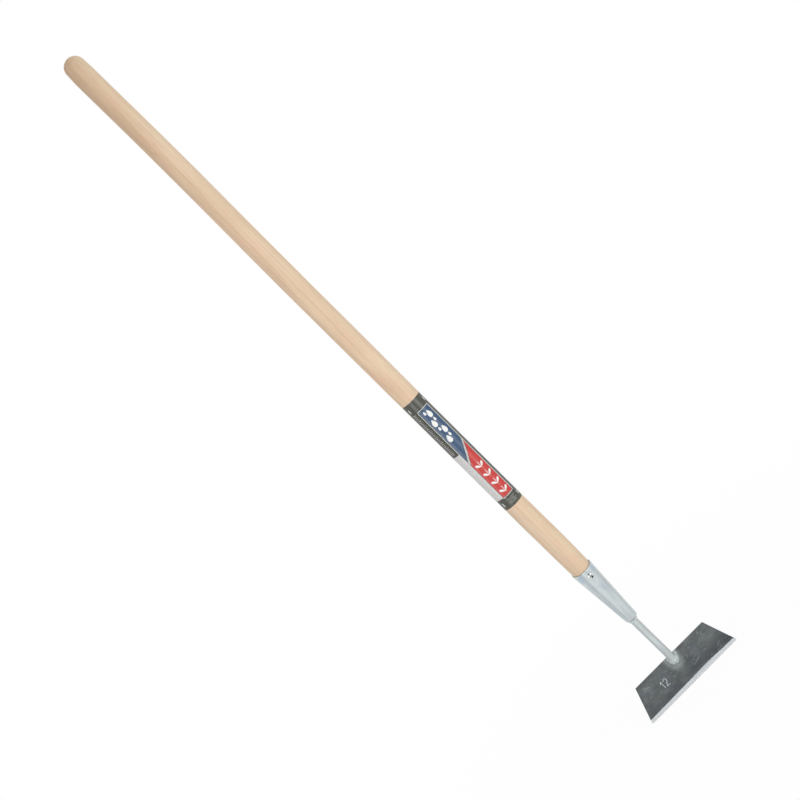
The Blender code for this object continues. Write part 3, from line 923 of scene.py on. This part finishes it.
recess_steel = recess_material()
cross_rings = []
for deep, share in ((RECESS_DEPTH, RECESS_TAPER), (-RECESS_DEPTH, RECESS_FLARE)):
    span = RECESS_SPAN / 2 * share
    slot = RECESS_SLOT / 2 * (0.4 + 0.6 * share)
    ring = []
    for quarter in range(4):
        for right, up in ((span, -slot), (span, slot), (slot, slot)):
            corner = Vector((right, up, HEAD_LIFT + HEAD_HEIGHT - deep))
            corner.rotate(Matrix.Rotation(quarter * math.pi / 2, 3, "Z"))
            ring.append(corner)
    cross_rings.append(ring)
cutters = [cross_rings]
for right, up, wide, squash in WORN:
    rings = []
    for height, share in WORN_RINGS:
        ring = []
        for turn in steps(0.0, math.tau, 18)[:-1]:
            across = right + wide * share * math.cos(turn)
            ring.append(Vector((across, up + wide * share * squash * math.sin(turn), height)) * MM)
        rings.append(ring)
    cutters.append(rings)
tools = []
for rings in cutters:
    for corner in (corner for ring in rings for corner in ring):
        corner.rotate(Matrix.Rotation(RECESS_TURN, 3, "Z"))
    tools.append(linked("recess", prism(rings), recess_steel, screw_place))
    carve(screw, tools[-1])
screw = plain(screw)
for tool in tools:
    bpy.data.objects.remove(tool)
hand_in(screw, "socket_screw")

# Neck. A drawn 8 mm round bar, zinc plated with the socket. It leaves the socket straight, bends
# forward to the blade's angle and lies on the blade, its rounded tip under the weld.
NECK_STRAIGHT = 20.0 * MM
NECK_BEND = 50.0 * MM
NECK_TO_BLADE = 6.0 * MM
NECK_ON_BLADE = 10.0 * MM
NECK_TIP = 2.4 * MM
BAR_RADIUS = 4.15 * MM
BAR_ASIDE = 0.4 * MM
NECK_LEAN = 0.85 * MM
NECK_SIDES = 72
BLADE_ANGLE = math.radians(30)
PLATE_GAP = 0.3 * MM
neck_low, neck_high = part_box("neck_rod")


def path(name, runs, closed=False):
    """A curve through points, one spline for each run."""
    data = bpy.data.curves.new(name, "CURVE")
    data.dimensions = "3D"
    for run in runs:
        spline = data.splines.new("POLY")
        spline.points.add(len(run) - 1)
        spline.use_cyclic_u = closed
        for corner, point in zip(spline.points, run):
            corner.co = (*point, 1.0)
    return data


def marked(geometry, name, value, kind="FLOAT"):
    """Keeps a value on each point of a shape, under a name."""
    inputs = {"Geometry": geometry, "Name": name, "Value": value}
    return add(geometry.tree, "GeometryNodeStoreNamedAttribute", inputs, data_type=kind)


def drawn(place):
    """Straight places along the bar, from the ones that its sweep left on it."""
    tree = place.tree
    across = add(tree, "ShaderNodeAttribute", output="Vector", attribute_name="across")
    run = add(tree, "ShaderNodeAttribute", output="Fac", attribute_name="run")
    along = from_parts(tree, Z=run)
    return vector_calc("MULTIPLY_ADD", across, (BAR_RADIUS, BAR_RADIUS, 0.0), along)


neck_start = Vector((0.0, 0.0, neck_high.z))
bend_start = Vector((0.0, 0.0, socket_foot - NECK_STRAIGHT))
neck_points = [neck_start.lerp(bend_start, share) for share in steps(0.0, 1.0, 12)[:-1]]
for angle in steps(0.0, BLADE_ANGLE, 32):
    bent = Vector((0.0, math.cos(angle) - 1, -math.sin(angle)))
    neck_points.append(bend_start + bent * NECK_BEND)
bend_end = neck_points[-1]
onward = Vector((0.0, -math.sin(BLADE_ANGLE), -math.cos(BLADE_ANGLE)))
tip_start = NECK_TO_BLADE + NECK_ON_BLADE - NECK_TIP
reaches = steps(0.0, tip_start, 10)[1:-1]
reaches += [tip_start + NECK_TIP * math.sin(angle) for angle in steps(0.0, math.pi / 2, 12)]
neck_points += [bend_end + onward * reach for reach in reaches]
for point in neck_points:
    share = max(0.0, (socket_foot - point.z) / (socket_foot - neck_low.z))
    point.x = BAR_ASIDE + (NECK_LEAN - BAR_ASIDE) * share

neck_sizes = {"Radius": BAR_RADIUS, "Tip": NECK_TIP}
tree, size = new_tree("drawn_bar", neck_sizes, takes="Middle line")
run = add(tree, "GeometryNodeSplineParameter", output="Length")
left = add(tree, "GeometryNodeSplineLength", output="Length") - run
into_tip = calc("MINIMUM", calc("MAXIMUM", 1.0 - left / size["Tip"], 0.0), 1.0)
bar_radius = calc("SQRT", 1.0 - into_tip * into_tip) * size["Radius"]
line = marked(size["Middle line"], "run", run)
around = add(tree, "GeometryNodeInputPosition")
section = marked(circle(tree, NECK_SIDES), "across", around, "FLOAT_VECTOR")
zinc_bar = zinc_material("zinc_bar", ZINC_BAR, (0.45, 0.45, 40), 0.3, 0.5, drawn)
end_tree(swept(line, section, bar_radius), zinc_bar)
neck = grown("neck_bar", tree, neck_sizes, path("neck", [neck_points]))
hand_in(neck, "neck_rod")

# Socket weld. One turn of weld metal between the neck and the socket's turned-in end, laid by
# hand in short pools, so it is a ring of overlapping ripples. It is plated over with the rest.
WELD_BRIGHT = (204, 212, 211)
WELD_SATIN = (186, 194, 193)
CORE_SHARE = 0.9
CORE_SIDES = 20
POOL_FLAT = 0.52
POOL_SIZES = (0.93, 1.09)
POOL_SEED = 7
RING_AROUND = NECK_RADIUS + 0.45 * MM
RING_BELOW = 0.45 * MM
RING_ASIDE = 0.5 * MM
RING_SKIN = 0.1 * MM


def varied(tree, low, high, seed):
    """A random size for each copy, from a fixed seed."""
    inputs = {"Min_001": low, "Max_001": high, "Seed": seed}
    return add(tree, "FunctionNodeRandomValue", inputs, "Value_001", data_type="FLOAT")


def weld_tree(name, sizes, material):
    """Weld laid along a line: a core, and pools that overlap like tipped coins."""
    tree, size = new_tree(name, sizes, takes="Line")
    factor = add(tree, "GeometryNodeSplineParameter", output="Factor")
    swell = calc("SINE", factor * math.pi)
    share = (size["In the middle"] - size["At the ends"]) * swell + size["At the ends"]
    line = marked(size["Line"], "share", share)
    core = swept(line, circle(tree, CORE_SIDES), share * size["Bead"] * CORE_SHARE)
    stops = {"Curve": line, "Length": size["Step"]}
    stops = add(tree, "GeometryNodeCurveToPoints", stops, "Points", mode="LENGTH")
    pool = add(tree, "GeometryNodeMeshIcoSphere", {"Radius": size["Bead"], "Subdivisions": 3})
    stored = add(tree, "GeometryNodeInputNamedAttribute", {"Name": "share"}, data_type="FLOAT")
    grow = stored * varied(tree, *POOL_SIZES, POOL_SEED)
    shape = from_parts(tree, X=grow, Y=grow, Z=grow * POOL_FLAT)
    turned = Wire(tree, stops.socket.node.outputs["Rotation"])
    both = add(tree, "GeometryNodeJoinGeometry", {0: core})
    feed(both.socket.node.inputs[0], copied(stops, pool, Rotation=turned, Scale=shape))
    end_tree(both, material)
    return tree


def fused(piece, fineness):
    """Melts overlapping pools into one uneven skin, which keeps their material."""
    material = piece.data.materials[0]
    modify(piece, "REMESH", mode="VOXEL", voxel_size=fineness)
    modify(piece, "SMOOTH", factor=0.5, iterations=3)
    skin = plain(piece, sharp=180.0)
    skin.data.materials.clear()
    skin.data.materials.append(material)
    return skin


weld_metal = steel_material("weld_metal", WELD_BRIGHT, WELD_SATIN, 1.1, 0.28)
ring_line = []
for angle in steps(0.0, math.tau, 96)[:-1]:
    across = Vector((math.sin(angle), -math.cos(angle), 0.0)) * RING_AROUND
    ring_line.append(across + Vector((RING_ASIDE, 0.0, socket_foot - RING_BELOW)))
ring_sizes = {"Bead": 0.95 * MM, "Step": 1.1 * MM, "At the ends": 1.0, "In the middle": 1.0}
tree = weld_tree("ring_of_weld", ring_sizes, weld_metal)
ring_weld = grown("weld_ring", tree, ring_sizes, path("ring", [ring_line], closed=True))
hand_in(fused(ring_weld, RING_SKIN), "socket_weld")

# Blade. A trapezium sheared from 2 mm steel plate, dark with mill scale, darker to the front and
# right, scratched in use. Its long side is ground to an edge on the top face, and a plain 12 for
# its width in centimetres is struck into it.
BLADE_EDGE = 120.8 * MM
BLADE_BACK = 96.0 * MM
BLADE_DEPTH = 36.5 * MM
BACK_LEFT_HIGHER = 0.4 * MM
BLADE_ASIDE = 0.05 * MM
EDGE_ASIDE = -0.38 * MM
PLATE = 2.0 * MM
PLATE_CORNER = 0.8 * MM
PLATE_ROUND = 0.14 * MM
# How far the ground face reaches in from the edge, at places along it, all in mm.
GRIND_RUN = ((-75, 3.5), (-45, 3.75), (-10, 4.15), (18, 4.6), (50, 3.5), (62, 2.6), (75, 2.0))
GRIND_LAND = 0.4 * MM
STONE_PAST = 6.0 * MM
STAMP_TOP = -13.2 * MM
STAMP_ASIDE = 0.35 * MM
STAMP_TALL = 7.5 * MM
STAMP_ABOVE = 0.22 * MM
STAMP_STEP = 0.3 * MM
SCALE_DARK = (91, 97, 98)
SCALE_MID = (109, 114, 115)
SCALE_PALE = (131, 136, 137)
SCALE_BROWN = (115, 111, 108)
SCALE_VIOLET = (97, 99, 113)
SCALE_DARKEST = (61, 65, 69)
SCRATCHED = (170, 175, 177)
# The scale gets darker forward from the back edge, and more to the right: from where to where, and
# from which share to which. Darker pools: right, up and reach in mm, and their share.
DARKER_FORWARD = (-10.0 * MM, -33.0 * MM)
DARKER_RIGHT = (-60.0 * MM, 60.0 * MM, 0.38, 0.68)
DARKER_POOLS = ((38.0, -33.0, 15.0, 0.4), (-25.0, -34.0, 10.0, 0.2))
# Sets of fine scratches: angle, length and width in mm, rarity and the shift of their noise.
FINE_SCRATCHES = ((0.2, 14, 0.16, 0.7, 2.0), (-0.9, 8, 0.15, 0.7, 13.0), (1.2, 6, 0.14, 0.72, 21.0))
# Single scratches: right and up in mm, angle in radians, length and width in mm.
SCRATCHES = (
    (18.0, -23.1, 0.32, 10.0, 0.85),
    (14.0, -24.4, 0.2, 6.0, 0.6),
    (44.5, -26.2, 0.3, 9.0, 0.7),
    (30.0, -20.5, -0.3, 5.0, 0.5),
    (-42.5, -6.6, -0.7, 5.0, 0.8),
    (-40.0, -7.2, -0.75, 6.0, 0.8),
    (-37.6, -8.4, -0.8, 5.5, 0.75),
    (-44.0, -9.4, 0.6, 4.0, 0.7),
    (-49.0, -15.0, 1.1, 3.5, 0.8),
    (-43.0, -17.0, 1.0, 3.0, 0.7),
    (37.0, -4.4, 1.3, 3.5, 0.8),
    (38.6, -7.6, 1.2, 2.5, 0.7),
    (8.0, -16.0, 0.9, 4.0, 0.6),
    (12.5, -14.0, 0.8, 3.0, 0.6),
)
HEATED = (160, 167, 167)
HEAT_MIDDLE = (0.6 * MM, -2.0 * MM, 0.0)
HEAT_UNEVEN = 6.0 * MM
HEAT_FADES = (11.8 * MM, 6.0 * MM)
HEAT_SHARE = 0.8
HEAT_THROUGH_PLATE = 4.0
GROUND = (219, 223, 225)
GROUND_DIM = (176, 180, 183)

tilt = Matrix.Rotation(math.pi / 2 - BLADE_ANGLE, 4, "X")
out_of_face = tilt.to_3x3() @ Vector((0.0, 0.0, 1.0))
blade_origin = bend_end + onward * NECK_TO_BLADE - out_of_face * (NECK_RADIUS + PLATE_GAP)
blade_origin.x = BLADE_ASIDE
blade_place = Matrix.Translation(blade_origin) @ tilt


def turned_by(place, angle, axis):
    inputs = {"Vector": place, "Angle": -angle}
    return add(place.tree, "ShaderNodeVectorRotate", inputs, rotation_type=axis + "_AXIS")


def on_blade(place):
    """Places measured on the blade: X along its edge, Y from its back edge, Z out of its face."""
    moved_back = vector_calc("SUBTRACT", place, tuple(blade_origin))
    return turned_by(moved_back, math.pi / 2 - BLADE_ANGLE, "X")


def from_weld(place, deep):
    """How far a place is from the weld's middle, uneven, and shorter towards the edge."""
    from_middle = vector_calc("SUBTRACT", place, HEAT_MIDDLE)
    squeezed = vector_calc("MULTIPLY", from_middle, (1.0, 0.6, deep))
    fine = speckle(place, 1.6, detail=4.0, roughness=0.7)
    return length_of(squeezed) + (fine - 0.5) * HEAT_UNEVEN


def scratches(place, angle, length, wide, many, shift):
    """Fine straight scratches that all run about one way, broken up by soft patches."""
    turned = {"Vector": place, "Rotation": (0.0, 0.0, angle)}
    turned = add(place.tree, "ShaderNodeMapping", turned)
    lines = speckle(turned, (length, wide, 1000), detail=0.0, shift=shift)
    patches = speckle(place, 9, detail=1.0, shift=shift + 5)
    return spread(lines, many, many + 0.05) * spread(patches, 0.5, 0.62)


def stroke(place, right, up, angle, length, wide):
    """One scratch: how strongly it marks a place."""
    from_middle = vector_calc("SUBTRACT", place, (right * MM, up * MM, 0.0))
    along = turned_by(from_middle, angle, "Z")
    shrunk = vector_calc("MULTIPLY", along, (wide / length, 1.0, 0.0))
    return spread(length_of(shrunk), wide * MM / 2, wide * MM / 6)


def scale_material():
    """Mill scale: mottled, darker to the front and right and in pools, scratched, paler where weld
    heat was.
    """
    material, place = new_material("blade_scale")
    place = on_blade(place)
    mottle = speckle(place, 3.5, detail=4.0, roughness=0.65)
    fine = speckle(place, 0.6, detail=4.0, roughness=0.7)
    hues = speckle(place, (13, 9, 9), shift=7.0)
    tone = layered(
        SCALE_DARK,
        (speckle(place, (16, 10, 9), detail=3.0, shift=2.0), 0.35, 0.65, 1.0, SCALE_MID),
        (mottle, 0.5, 0.78, 0.55, SCALE_PALE),
        (speckle(place, (22, 3, 3), detail=3.0, shift=3.0), 0.5, 0.75, 0.4, SCALE_DARKEST),
        (fine, 0.5, 0.75, 0.3, SCALE_PALE),
        (hues, 0.53, 0.66, 0.4, SCALE_BROWN),
        (hues, 0.46, 0.34, 0.4, SCALE_VIOLET),
    )
    darker = spread(part(place, "Y"), *DARKER_FORWARD) * spread(part(place, "X"), *DARKER_RIGHT)
    tone = tint(darker, tone, SCALE_DARKEST)
    for right, up, wide, share in DARKER_POOLS:
        from_pool = vector_calc("SUBTRACT", place, (right * MM, up * MM, 0.0))
        away = length_of(vector_calc("MULTIPLY", from_pool, (0.6, 1.0, 0.0)))
        tone = layered(tone, (away, wide * MM, 0.0, share, SCALE_DARKEST))
    found = [scratches(place, *lines) for lines in FINE_SCRATCHES]
    marks, *others = found + [stroke(place, *single) for single in SCRATCHES]
    for other in others:
        marks = calc("MAXIMUM", marks, other)
    tone = tint(marks * 0.6, tone, SCRATCHED)
    tone = layered(tone, (from_weld(place, HEAT_THROUGH_PLATE), *HEAT_FADES, HEAT_SHARE, HEATED))
    rough = spread(fine, 0.3, 0.75, 0.4, 0.58)
    return dressed(material, tone, rough, fine * 0.5 - marks, 0.04 * MM, 0.7, Metallic=0.7)


def ground_material():
    """A freshly ground face: bright, with the stone's lines across the edge."""
    material, place = new_material("ground_edge")
    place = on_blade(place)
    lines = speckle(place, (0.35, 9, 9), detail=4.0, roughness=0.7)
    spots = speckle(place, 1.4, detail=3.0)
    tone = layered(GROUND, (lines, 0.35, 0.7, 1.0, GROUND_DIM))
    tone = layered(tone, (spots, 0.55, 0.75, 0.5, GROUND_DIM))
    rough = spread(lines, 0.3, 0.75, 0.22, 0.4)
    return dressed(material, tone, rough, lines, 0.03 * MM, 0.7, Metallic=1.0)


def plate_outline():
    """The blade's four corners, each rounded with an arc."""
    corners = [
        Vector((-BLADE_BACK / 2, BACK_LEFT_HIGHER)),
        Vector((EDGE_ASIDE - BLADE_EDGE / 2, -BLADE_DEPTH)),
        Vector((EDGE_ASIDE + BLADE_EDGE / 2, -BLADE_DEPTH)),
        Vector((BLADE_BACK / 2, 0.0)),
    ]
    outline = []
    for index, corner in enumerate(corners):
        to_last = (corners[index - 1] - corner).normalized()
        to_next = (corners[(index + 1) % len(corners)] - corner).normalized()
        half = to_last.angle(to_next) / 2
        centre = corner + (to_last + to_next).normalized() * PLATE_CORNER / math.sin(half)
        start = corner + to_last * PLATE_CORNER / math.tan(half) - centre
        for turn in steps(0.0, math.pi - 2 * half, 8):
            outline.append(centre + Matrix.Rotation(turn, 2) @ start)
    return outline


def ground_run(across):
    """How far the ground face reaches in, at a place along the edge, both in mm."""
    for (left, first), (right, second) in zip(GRIND_RUN, GRIND_RUN[1:]):
        if left <= across <= right:
            share = (1 - math.cos(math.pi * (across - left) / (right - left))) / 2
            return first + (second - first) * share


ground_steel = ground_material()
plate = [[(corner.x, corner.y, height) for corner in plate_outline()] for height in (-PLATE, 0.0)]
blade = linked("hoe_blade", prism(plate), scale_material(), blade_place)

# The stone's face meets the top along a slightly bowed line and leaves a narrow land in front.
rings = []
for across in steps(-0.6 * BLADE_EDGE, 0.6 * BLADE_EDGE, 32):
    run = ground_run(across / MM) * MM
    slope = (PLATE - GRIND_LAND) / run
    inner, outer = run + STONE_PAST - BLADE_DEPTH, -BLADE_DEPTH - STONE_PAST
    low = [(across, inner, STONE_PAST * slope), (across, outer, -(STONE_PAST + run) * slope)]
    rings.append(low + [(across, outer, 2 * STONE_PAST), (across, inner, 2 * STONE_PAST)])
stone = linked("grindstone", prism(rings), ground_steel, blade_place)
carve(blade, stone)
round_edges(blade, PLATE_ROUND, 60)

# The digits' strokes, as places to the right in mm and shares of the height down.
one = [(-27.8, 0.26), (-25.8, 0.0), (-25.8, 1.0)]
two = []
for angle in steps(math.radians(170), math.radians(-45), 12):
    two.append((-21.4 + 1.95 * math.cos(angle), 0.24 - 0.24 * math.sin(angle)))
two += [(-23.4, 1.0), (-19.2, 1.0)]
strokes = []
for digit in (one, two):
    places = [(right * MM + STAMP_ASIDE, STAMP_TOP - down * STAMP_TALL) for right, down in digit]
    strokes.append([(*place, STAMP_ABOVE) for place in places])
stamp_sizes = {"Width": 0.52 * MM}
tree, size = new_tree("struck_strokes", stamp_sizes, takes="Strokes")
fine_strokes = {"Curve": size["Strokes"], "Length": STAMP_STEP}
fine_strokes = add(tree, "GeometryNodeResampleCurve", fine_strokes, mode="LENGTH")
struck_steel = steel_material("struck_steel", SCRATCHED, GROUND, 0.5, 0.3)
end_tree(swept(fine_strokes, circle(tree, 16, size["Width"])), struck_steel)
stamp = grown("stamp", tree, stamp_sizes, path("strokes", strokes))
stamp.matrix_world = blade_place
carve(blade, stamp, overlaps=True)
blade = plain(blade, sharp=20.0)
bpy.data.objects.remove(stone)
bpy.data.objects.remove(stamp)
hand_in(blade, "blade")

# Blade weld. A bead of weld metal down both sides of the neck and round its tip, with a second
# pass over the tip, and a few drops of spatter on the plate. It isn't ground off.
BEAD_FROM_NECK = 1.2 * MM
BEAD_ABOVE = 1.3 * MM
BEAD_START = 1.6 * MM
BEAD_UNEVEN = 0.5 * MM
BEAD_SKIN = 0.14 * MM
TIP_FLATTER = 1.3 * MM
RIGHT_WIDER = 0.4 * MM
WELD_ASIDE = 1.4 * MM
# Passes over the tip, each an arch from a foot's height: how far up the blade, half how wide
# and how high, in mm.
CROWNS = ((-6.4, 5.3, 6.6), (-8.0, 5.1, 7.0), (-9.4, 4.6, 5.6), (-10.4, 3.4, 3.0))
CROWN_FOOT = 0.6
CROWN_ENDS = (0.1 * math.pi, 0.9 * math.pi)
# Fills beside the neck: how far across and how high, in mm.
FILLS = ((-4.6, 1.2), (-4.2, 2.2), (4.4, 1.2), (4.6, 2.2))
FILL_SHORTER = 2.0 * MM
WELD_DULL = (146, 153, 151)
DULL_FADES = (5.4 * MM, 9.4 * MM)
DULL_DEEP = 0.4
SPATTER = 16
SPATTER_WIDE = 34.0 * MM
SPATTER_DEEP = 15.0 * MM
SPATTER_SIZES = (0.5, 1.4)
SPATTER_PLACE_SEED = 3
SPATTER_SIZE_SEED = 5

aside = NECK_RADIUS + BEAD_FROM_NECK
turn_start = NECK_RADIUS - NECK_ON_BLADE
sides = steps(-BEAD_START, turn_start, 8)
bead_line = [(-aside, along, BEAD_ABOVE) for along in sides]
for share in steps(0.0, 1.0, 32)[1:-1]:
    across = RIGHT_WIDER * share - math.cos(math.pi * share) * aside
    reach = turn_start - math.sin(math.pi * share) * (aside - TIP_FLATTER)
    bead_line.append((across, reach, BEAD_ABOVE))
bead_line += [(aside + RIGHT_WIDER, along, BEAD_ABOVE) for along in reversed(sides)]
weld_lines = [bead_line]
for across, lift in FILLS:
    fill = steps(-BEAD_START, turn_start - FILL_SHORTER, 8)
    weld_lines.append([(across * MM, along, lift * MM) for along in fill])
for reach, wide, top in CROWNS:
    crown = []
    for angle in steps(*CROWN_ENDS, 16):
        height = CROWN_FOOT + math.sin(angle) * (top - CROWN_FOOT)
        crown.append((-math.cos(angle) * wide * MM, reach * MM, height * MM))
    weld_lines.append(crown)
weld_lines = [[(x + WELD_ASIDE, y, z) for x, y, z in run] for run in weld_lines]


def uneven(piece, depth):
    """Pushes a piece's surface in and out by soft noise, at most by depth each way."""
    sizes = {"Depth": depth}
    tree, size = new_tree("uneven_surface", sizes, takes="Surface")
    noise = speckle(add(tree, "GeometryNodeInputPosition"), 1.9, shift=9.0)
    push = (noise - 0.5) * size["Depth"] * 2.0
    normal = add(tree, "GeometryNodeInputNormal")
    pushed = moved(size["Surface"], Offset=vector_calc("MULTIPLY", normal, push))
    end_tree(pushed, piece.data.materials[0])
    name, data = piece.name, piece.data
    bpy.data.objects.remove(piece)
    return grown(name, tree, sizes, data)


def bead_material():
    """Weld metal that is bright over the neck's tip and dull with oxide towards the plate."""
    material, place = new_material("weld_bead")
    place = on_blade(place)
    fine = speckle(place, 0.9, detail=4.0, roughness=0.65)
    burnt = speckle(place, 1.8, detail=3.0, roughness=0.7, shift=4.0)
    tone = layered(
        WELD_BRIGHT,
        (fine, 0.38, 0.7, 1.0, WELD_SATIN),
        (from_weld(place, DULL_DEEP), *DULL_FADES, 1.0, WELD_DULL),
        (burnt, 0.54, 0.68, 0.35, WELD_DULL),
    )
    rough = spread(fine, 0.3, 0.7, 0.34, 0.52)
    return dressed(material, tone, rough, fine, 0.05 * MM, 0.6, Metallic=0.5)


def set_on_blade(piece):
    """Carries a piece from the blade's own measures to its place."""
    piece.matrix_world = blade_place
    return plain(piece, sharp=180.0)


bead_sizes = {"Bead": 2.0 * MM, "Step": 1.25 * MM, "At the ends": 0.72, "In the middle": 1.12}
tree = weld_tree("bead_of_weld", bead_sizes, bead_material())
blade_weld = grown("weld_bead", tree, bead_sizes, path("bead", weld_lines))
blade_weld = set_on_blade(fused(uneven(blade_weld, BEAD_UNEVEN), BEAD_SKIN))
hand_in(blade_weld, "blade_weld")

spatter_sizes = {"Drop": 0.32 * MM, "Wide": SPATTER_WIDE, "Deep": SPATTER_DEEP}
spatter_sizes["Forward"] = -14.0 * MM
tree, size = new_tree("weld_spatter", spatter_sizes)
patch = grid(tree, size["Wide"], size["Deep"], 5, 5)
patch = moved(patch, Offset=from_parts(tree, Y=size["Forward"]))
density = SPATTER / (SPATTER_WIDE * SPATTER_DEEP)
thrown = {"Mesh": patch, "Density": density, "Seed": SPATTER_PLACE_SEED}
thrown = add(tree, "GeometryNodeDistributePointsOnFaces", thrown, "Points")
bead_drop = add(tree, "GeometryNodeMeshIcoSphere", {"Radius": size["Drop"], "Subdivisions": 2})
grow = varied(tree, *SPATTER_SIZES, SPATTER_SIZE_SEED)
end_tree(copied(thrown, bead_drop, Scale=grow), weld_metal)
spatter = set_on_blade(grown("weld_spatter", tree, spatter_sizes))
hand_in(spatter)

# Floor and backdrop. A plain pale floor that the blade's edge stands on, which fades into a
# white backdrop and keeps a faint shadow of the hoe.
FLOOR_REACH = 12.0
FLOOR_TONE = (0.9, 0.9, 0.9, 1.0)
FLOOR_ROUGH = 0.9
FLOOR_WHITE_NEAR = 0.96
FLOOR_FADES = (0.08, 0.6)
WHITE = (1.0, 1.0, 1.0, 1.0)


def ray(tree, kind):
    return add(tree, "ShaderNodeLightPath", output="Is " + kind + " Ray")


def in_metal_or_glass(tree):
    """One where the backdrop is seen by reflection or through something."""
    return calc("MAXIMUM", ray(tree, "Glossy"), ray(tree, "Transmission"))


floor_shape = bmesh.new()
bmesh.ops.create_grid(floor_shape, x_segments=4, y_segments=4, size=FLOOR_REACH)
floor_middle = (0.0, 0.0, cad_box[0].z)
floor_shape.transform(Matrix.Translation(floor_middle))
floor_material, place = new_material("pale_floor")
tree = floor_material.node_tree
bare = tree.nodes["Principled BSDF"]
feed(bare.inputs["Base Color"], FLOOR_TONE)
feed(bare.inputs["Roughness"], FLOOR_ROUGH)
from_hoe = vector_calc("DISTANCE", place, floor_middle, output="Value")
whiter = spread(from_hoe, *FLOOR_FADES, FLOOR_WHITE_NEAR, 1.0)
seen = calc("MAXIMUM", in_metal_or_glass(tree), ray(tree, "Camera") * whiter)
glow = add(tree, "ShaderNodeEmission", {"Color": WHITE, "Strength": 1.0})
mixed = add(tree, "ShaderNodeMixShader", {0: seen, 1: Wire(tree, bare.outputs[0]), 2: glow})
feed(tree.nodes["Material Output"].inputs["Surface"], mixed)
floor = linked("pale_floor", floor_shape, floor_material)

# The backdrop behind the hoe is white, also in the metal, and reaches further round on the left.
# The room on the camera's side is dimmer.
WORLD_LEVEL = 0.71
ROOM_FADES = (-0.1, 0.35)
BACKDROP_SIDE = (-0.25, 0.97, 0.0)
world = bpy.data.worlds.new("white_room")
bpy.context.scene.world = world
world.use_nodes = True
tree = world.node_tree
looked = add(tree, "ShaderNodeTexCoord", output="Generated")
behind = vector_calc("DOT_PRODUCT", looked, BACKDROP_SIDE, output="Value")
seen = in_metal_or_glass(tree) * spread(behind, *ROOM_FADES)
seen = calc("MAXIMUM", seen, ray(tree, "Camera"))
level = add(tree, "ShaderNodeMix", {"Factor_Float": seen, "A_Float": WORLD_LEVEL, "B_Float": 1.0})
background = tree.nodes["Background"]
feed(background.inputs["Color"], WHITE)
feed(background.inputs["Strength"], level)

# Lamps. A big soft box close by on the right, tipped up to the handle's top, which shades round
# pieces gently darker to their left, and a low one on the left, tipped down to the blade. Both
# draw a long soft line of light down glossy pieces.
LAMPS = (
    ("right_soft_box", (0.68, -1.08, -0.2), 0.35, 0.7, 0.95, 4.7),
    ("left_low_box", (-0.6, -1.11, -0.59), -2.2, 0.6, 0.24, 3.0),
)
for name, spot, aimed, wide, tall, power in LAMPS:
    lamp = bpy.data.lights.new(name, "AREA")
    lamp.shape = "RECTANGLE"
    lamp.size = wide
    lamp.size_y = tall
    lamp.energy = power
    holder = stand(name, lamp)
    holder.location = spot
    facing = Vector((0.0, 0.0, aimed)) - Vector(spot)
    holder.rotation_euler = facing.to_track_quat("-Z", "Y").to_euler()

# Camera. Almost square on to the front, a little above, and rolled so that the handle runs from
# the upper left to the lower right.
LENS = 69.885
SENSOR = 36.0
AIM = Vector((-0.0077, 0.0, -0.3044))
CAMERA_AWAY = 1.531
CAMERA_ABOVE = math.radians(8.6)
CAMERA_ROLL = math.radians(45.28)
level_right = Vector((1.0, 0.0, 0.0))
level_up = Vector((0.0, math.sin(CAMERA_ABOVE), math.cos(CAMERA_ABOVE)))
towards = Vector((0.0, -math.cos(CAMERA_ABOVE), math.sin(CAMERA_ABOVE)))
right = math.cos(CAMERA_ROLL) * level_right - math.sin(CAMERA_ROLL) * level_up
up = math.sin(CAMERA_ROLL) * level_right + math.cos(CAMERA_ROLL) * level_up
lens = bpy.data.cameras.new("camera")
lens.lens = LENS
lens.sensor_width = SENSOR
camera = stand("camera", lens)
turned = Matrix((right, up, towards)).transposed().to_4x4()
camera.matrix_world = Matrix.Translation(AIM + towards * CAMERA_AWAY) @ turned
bpy.context.scene.camera = camera
bpy.context.scene.view_settings.view_transform = "Standard"

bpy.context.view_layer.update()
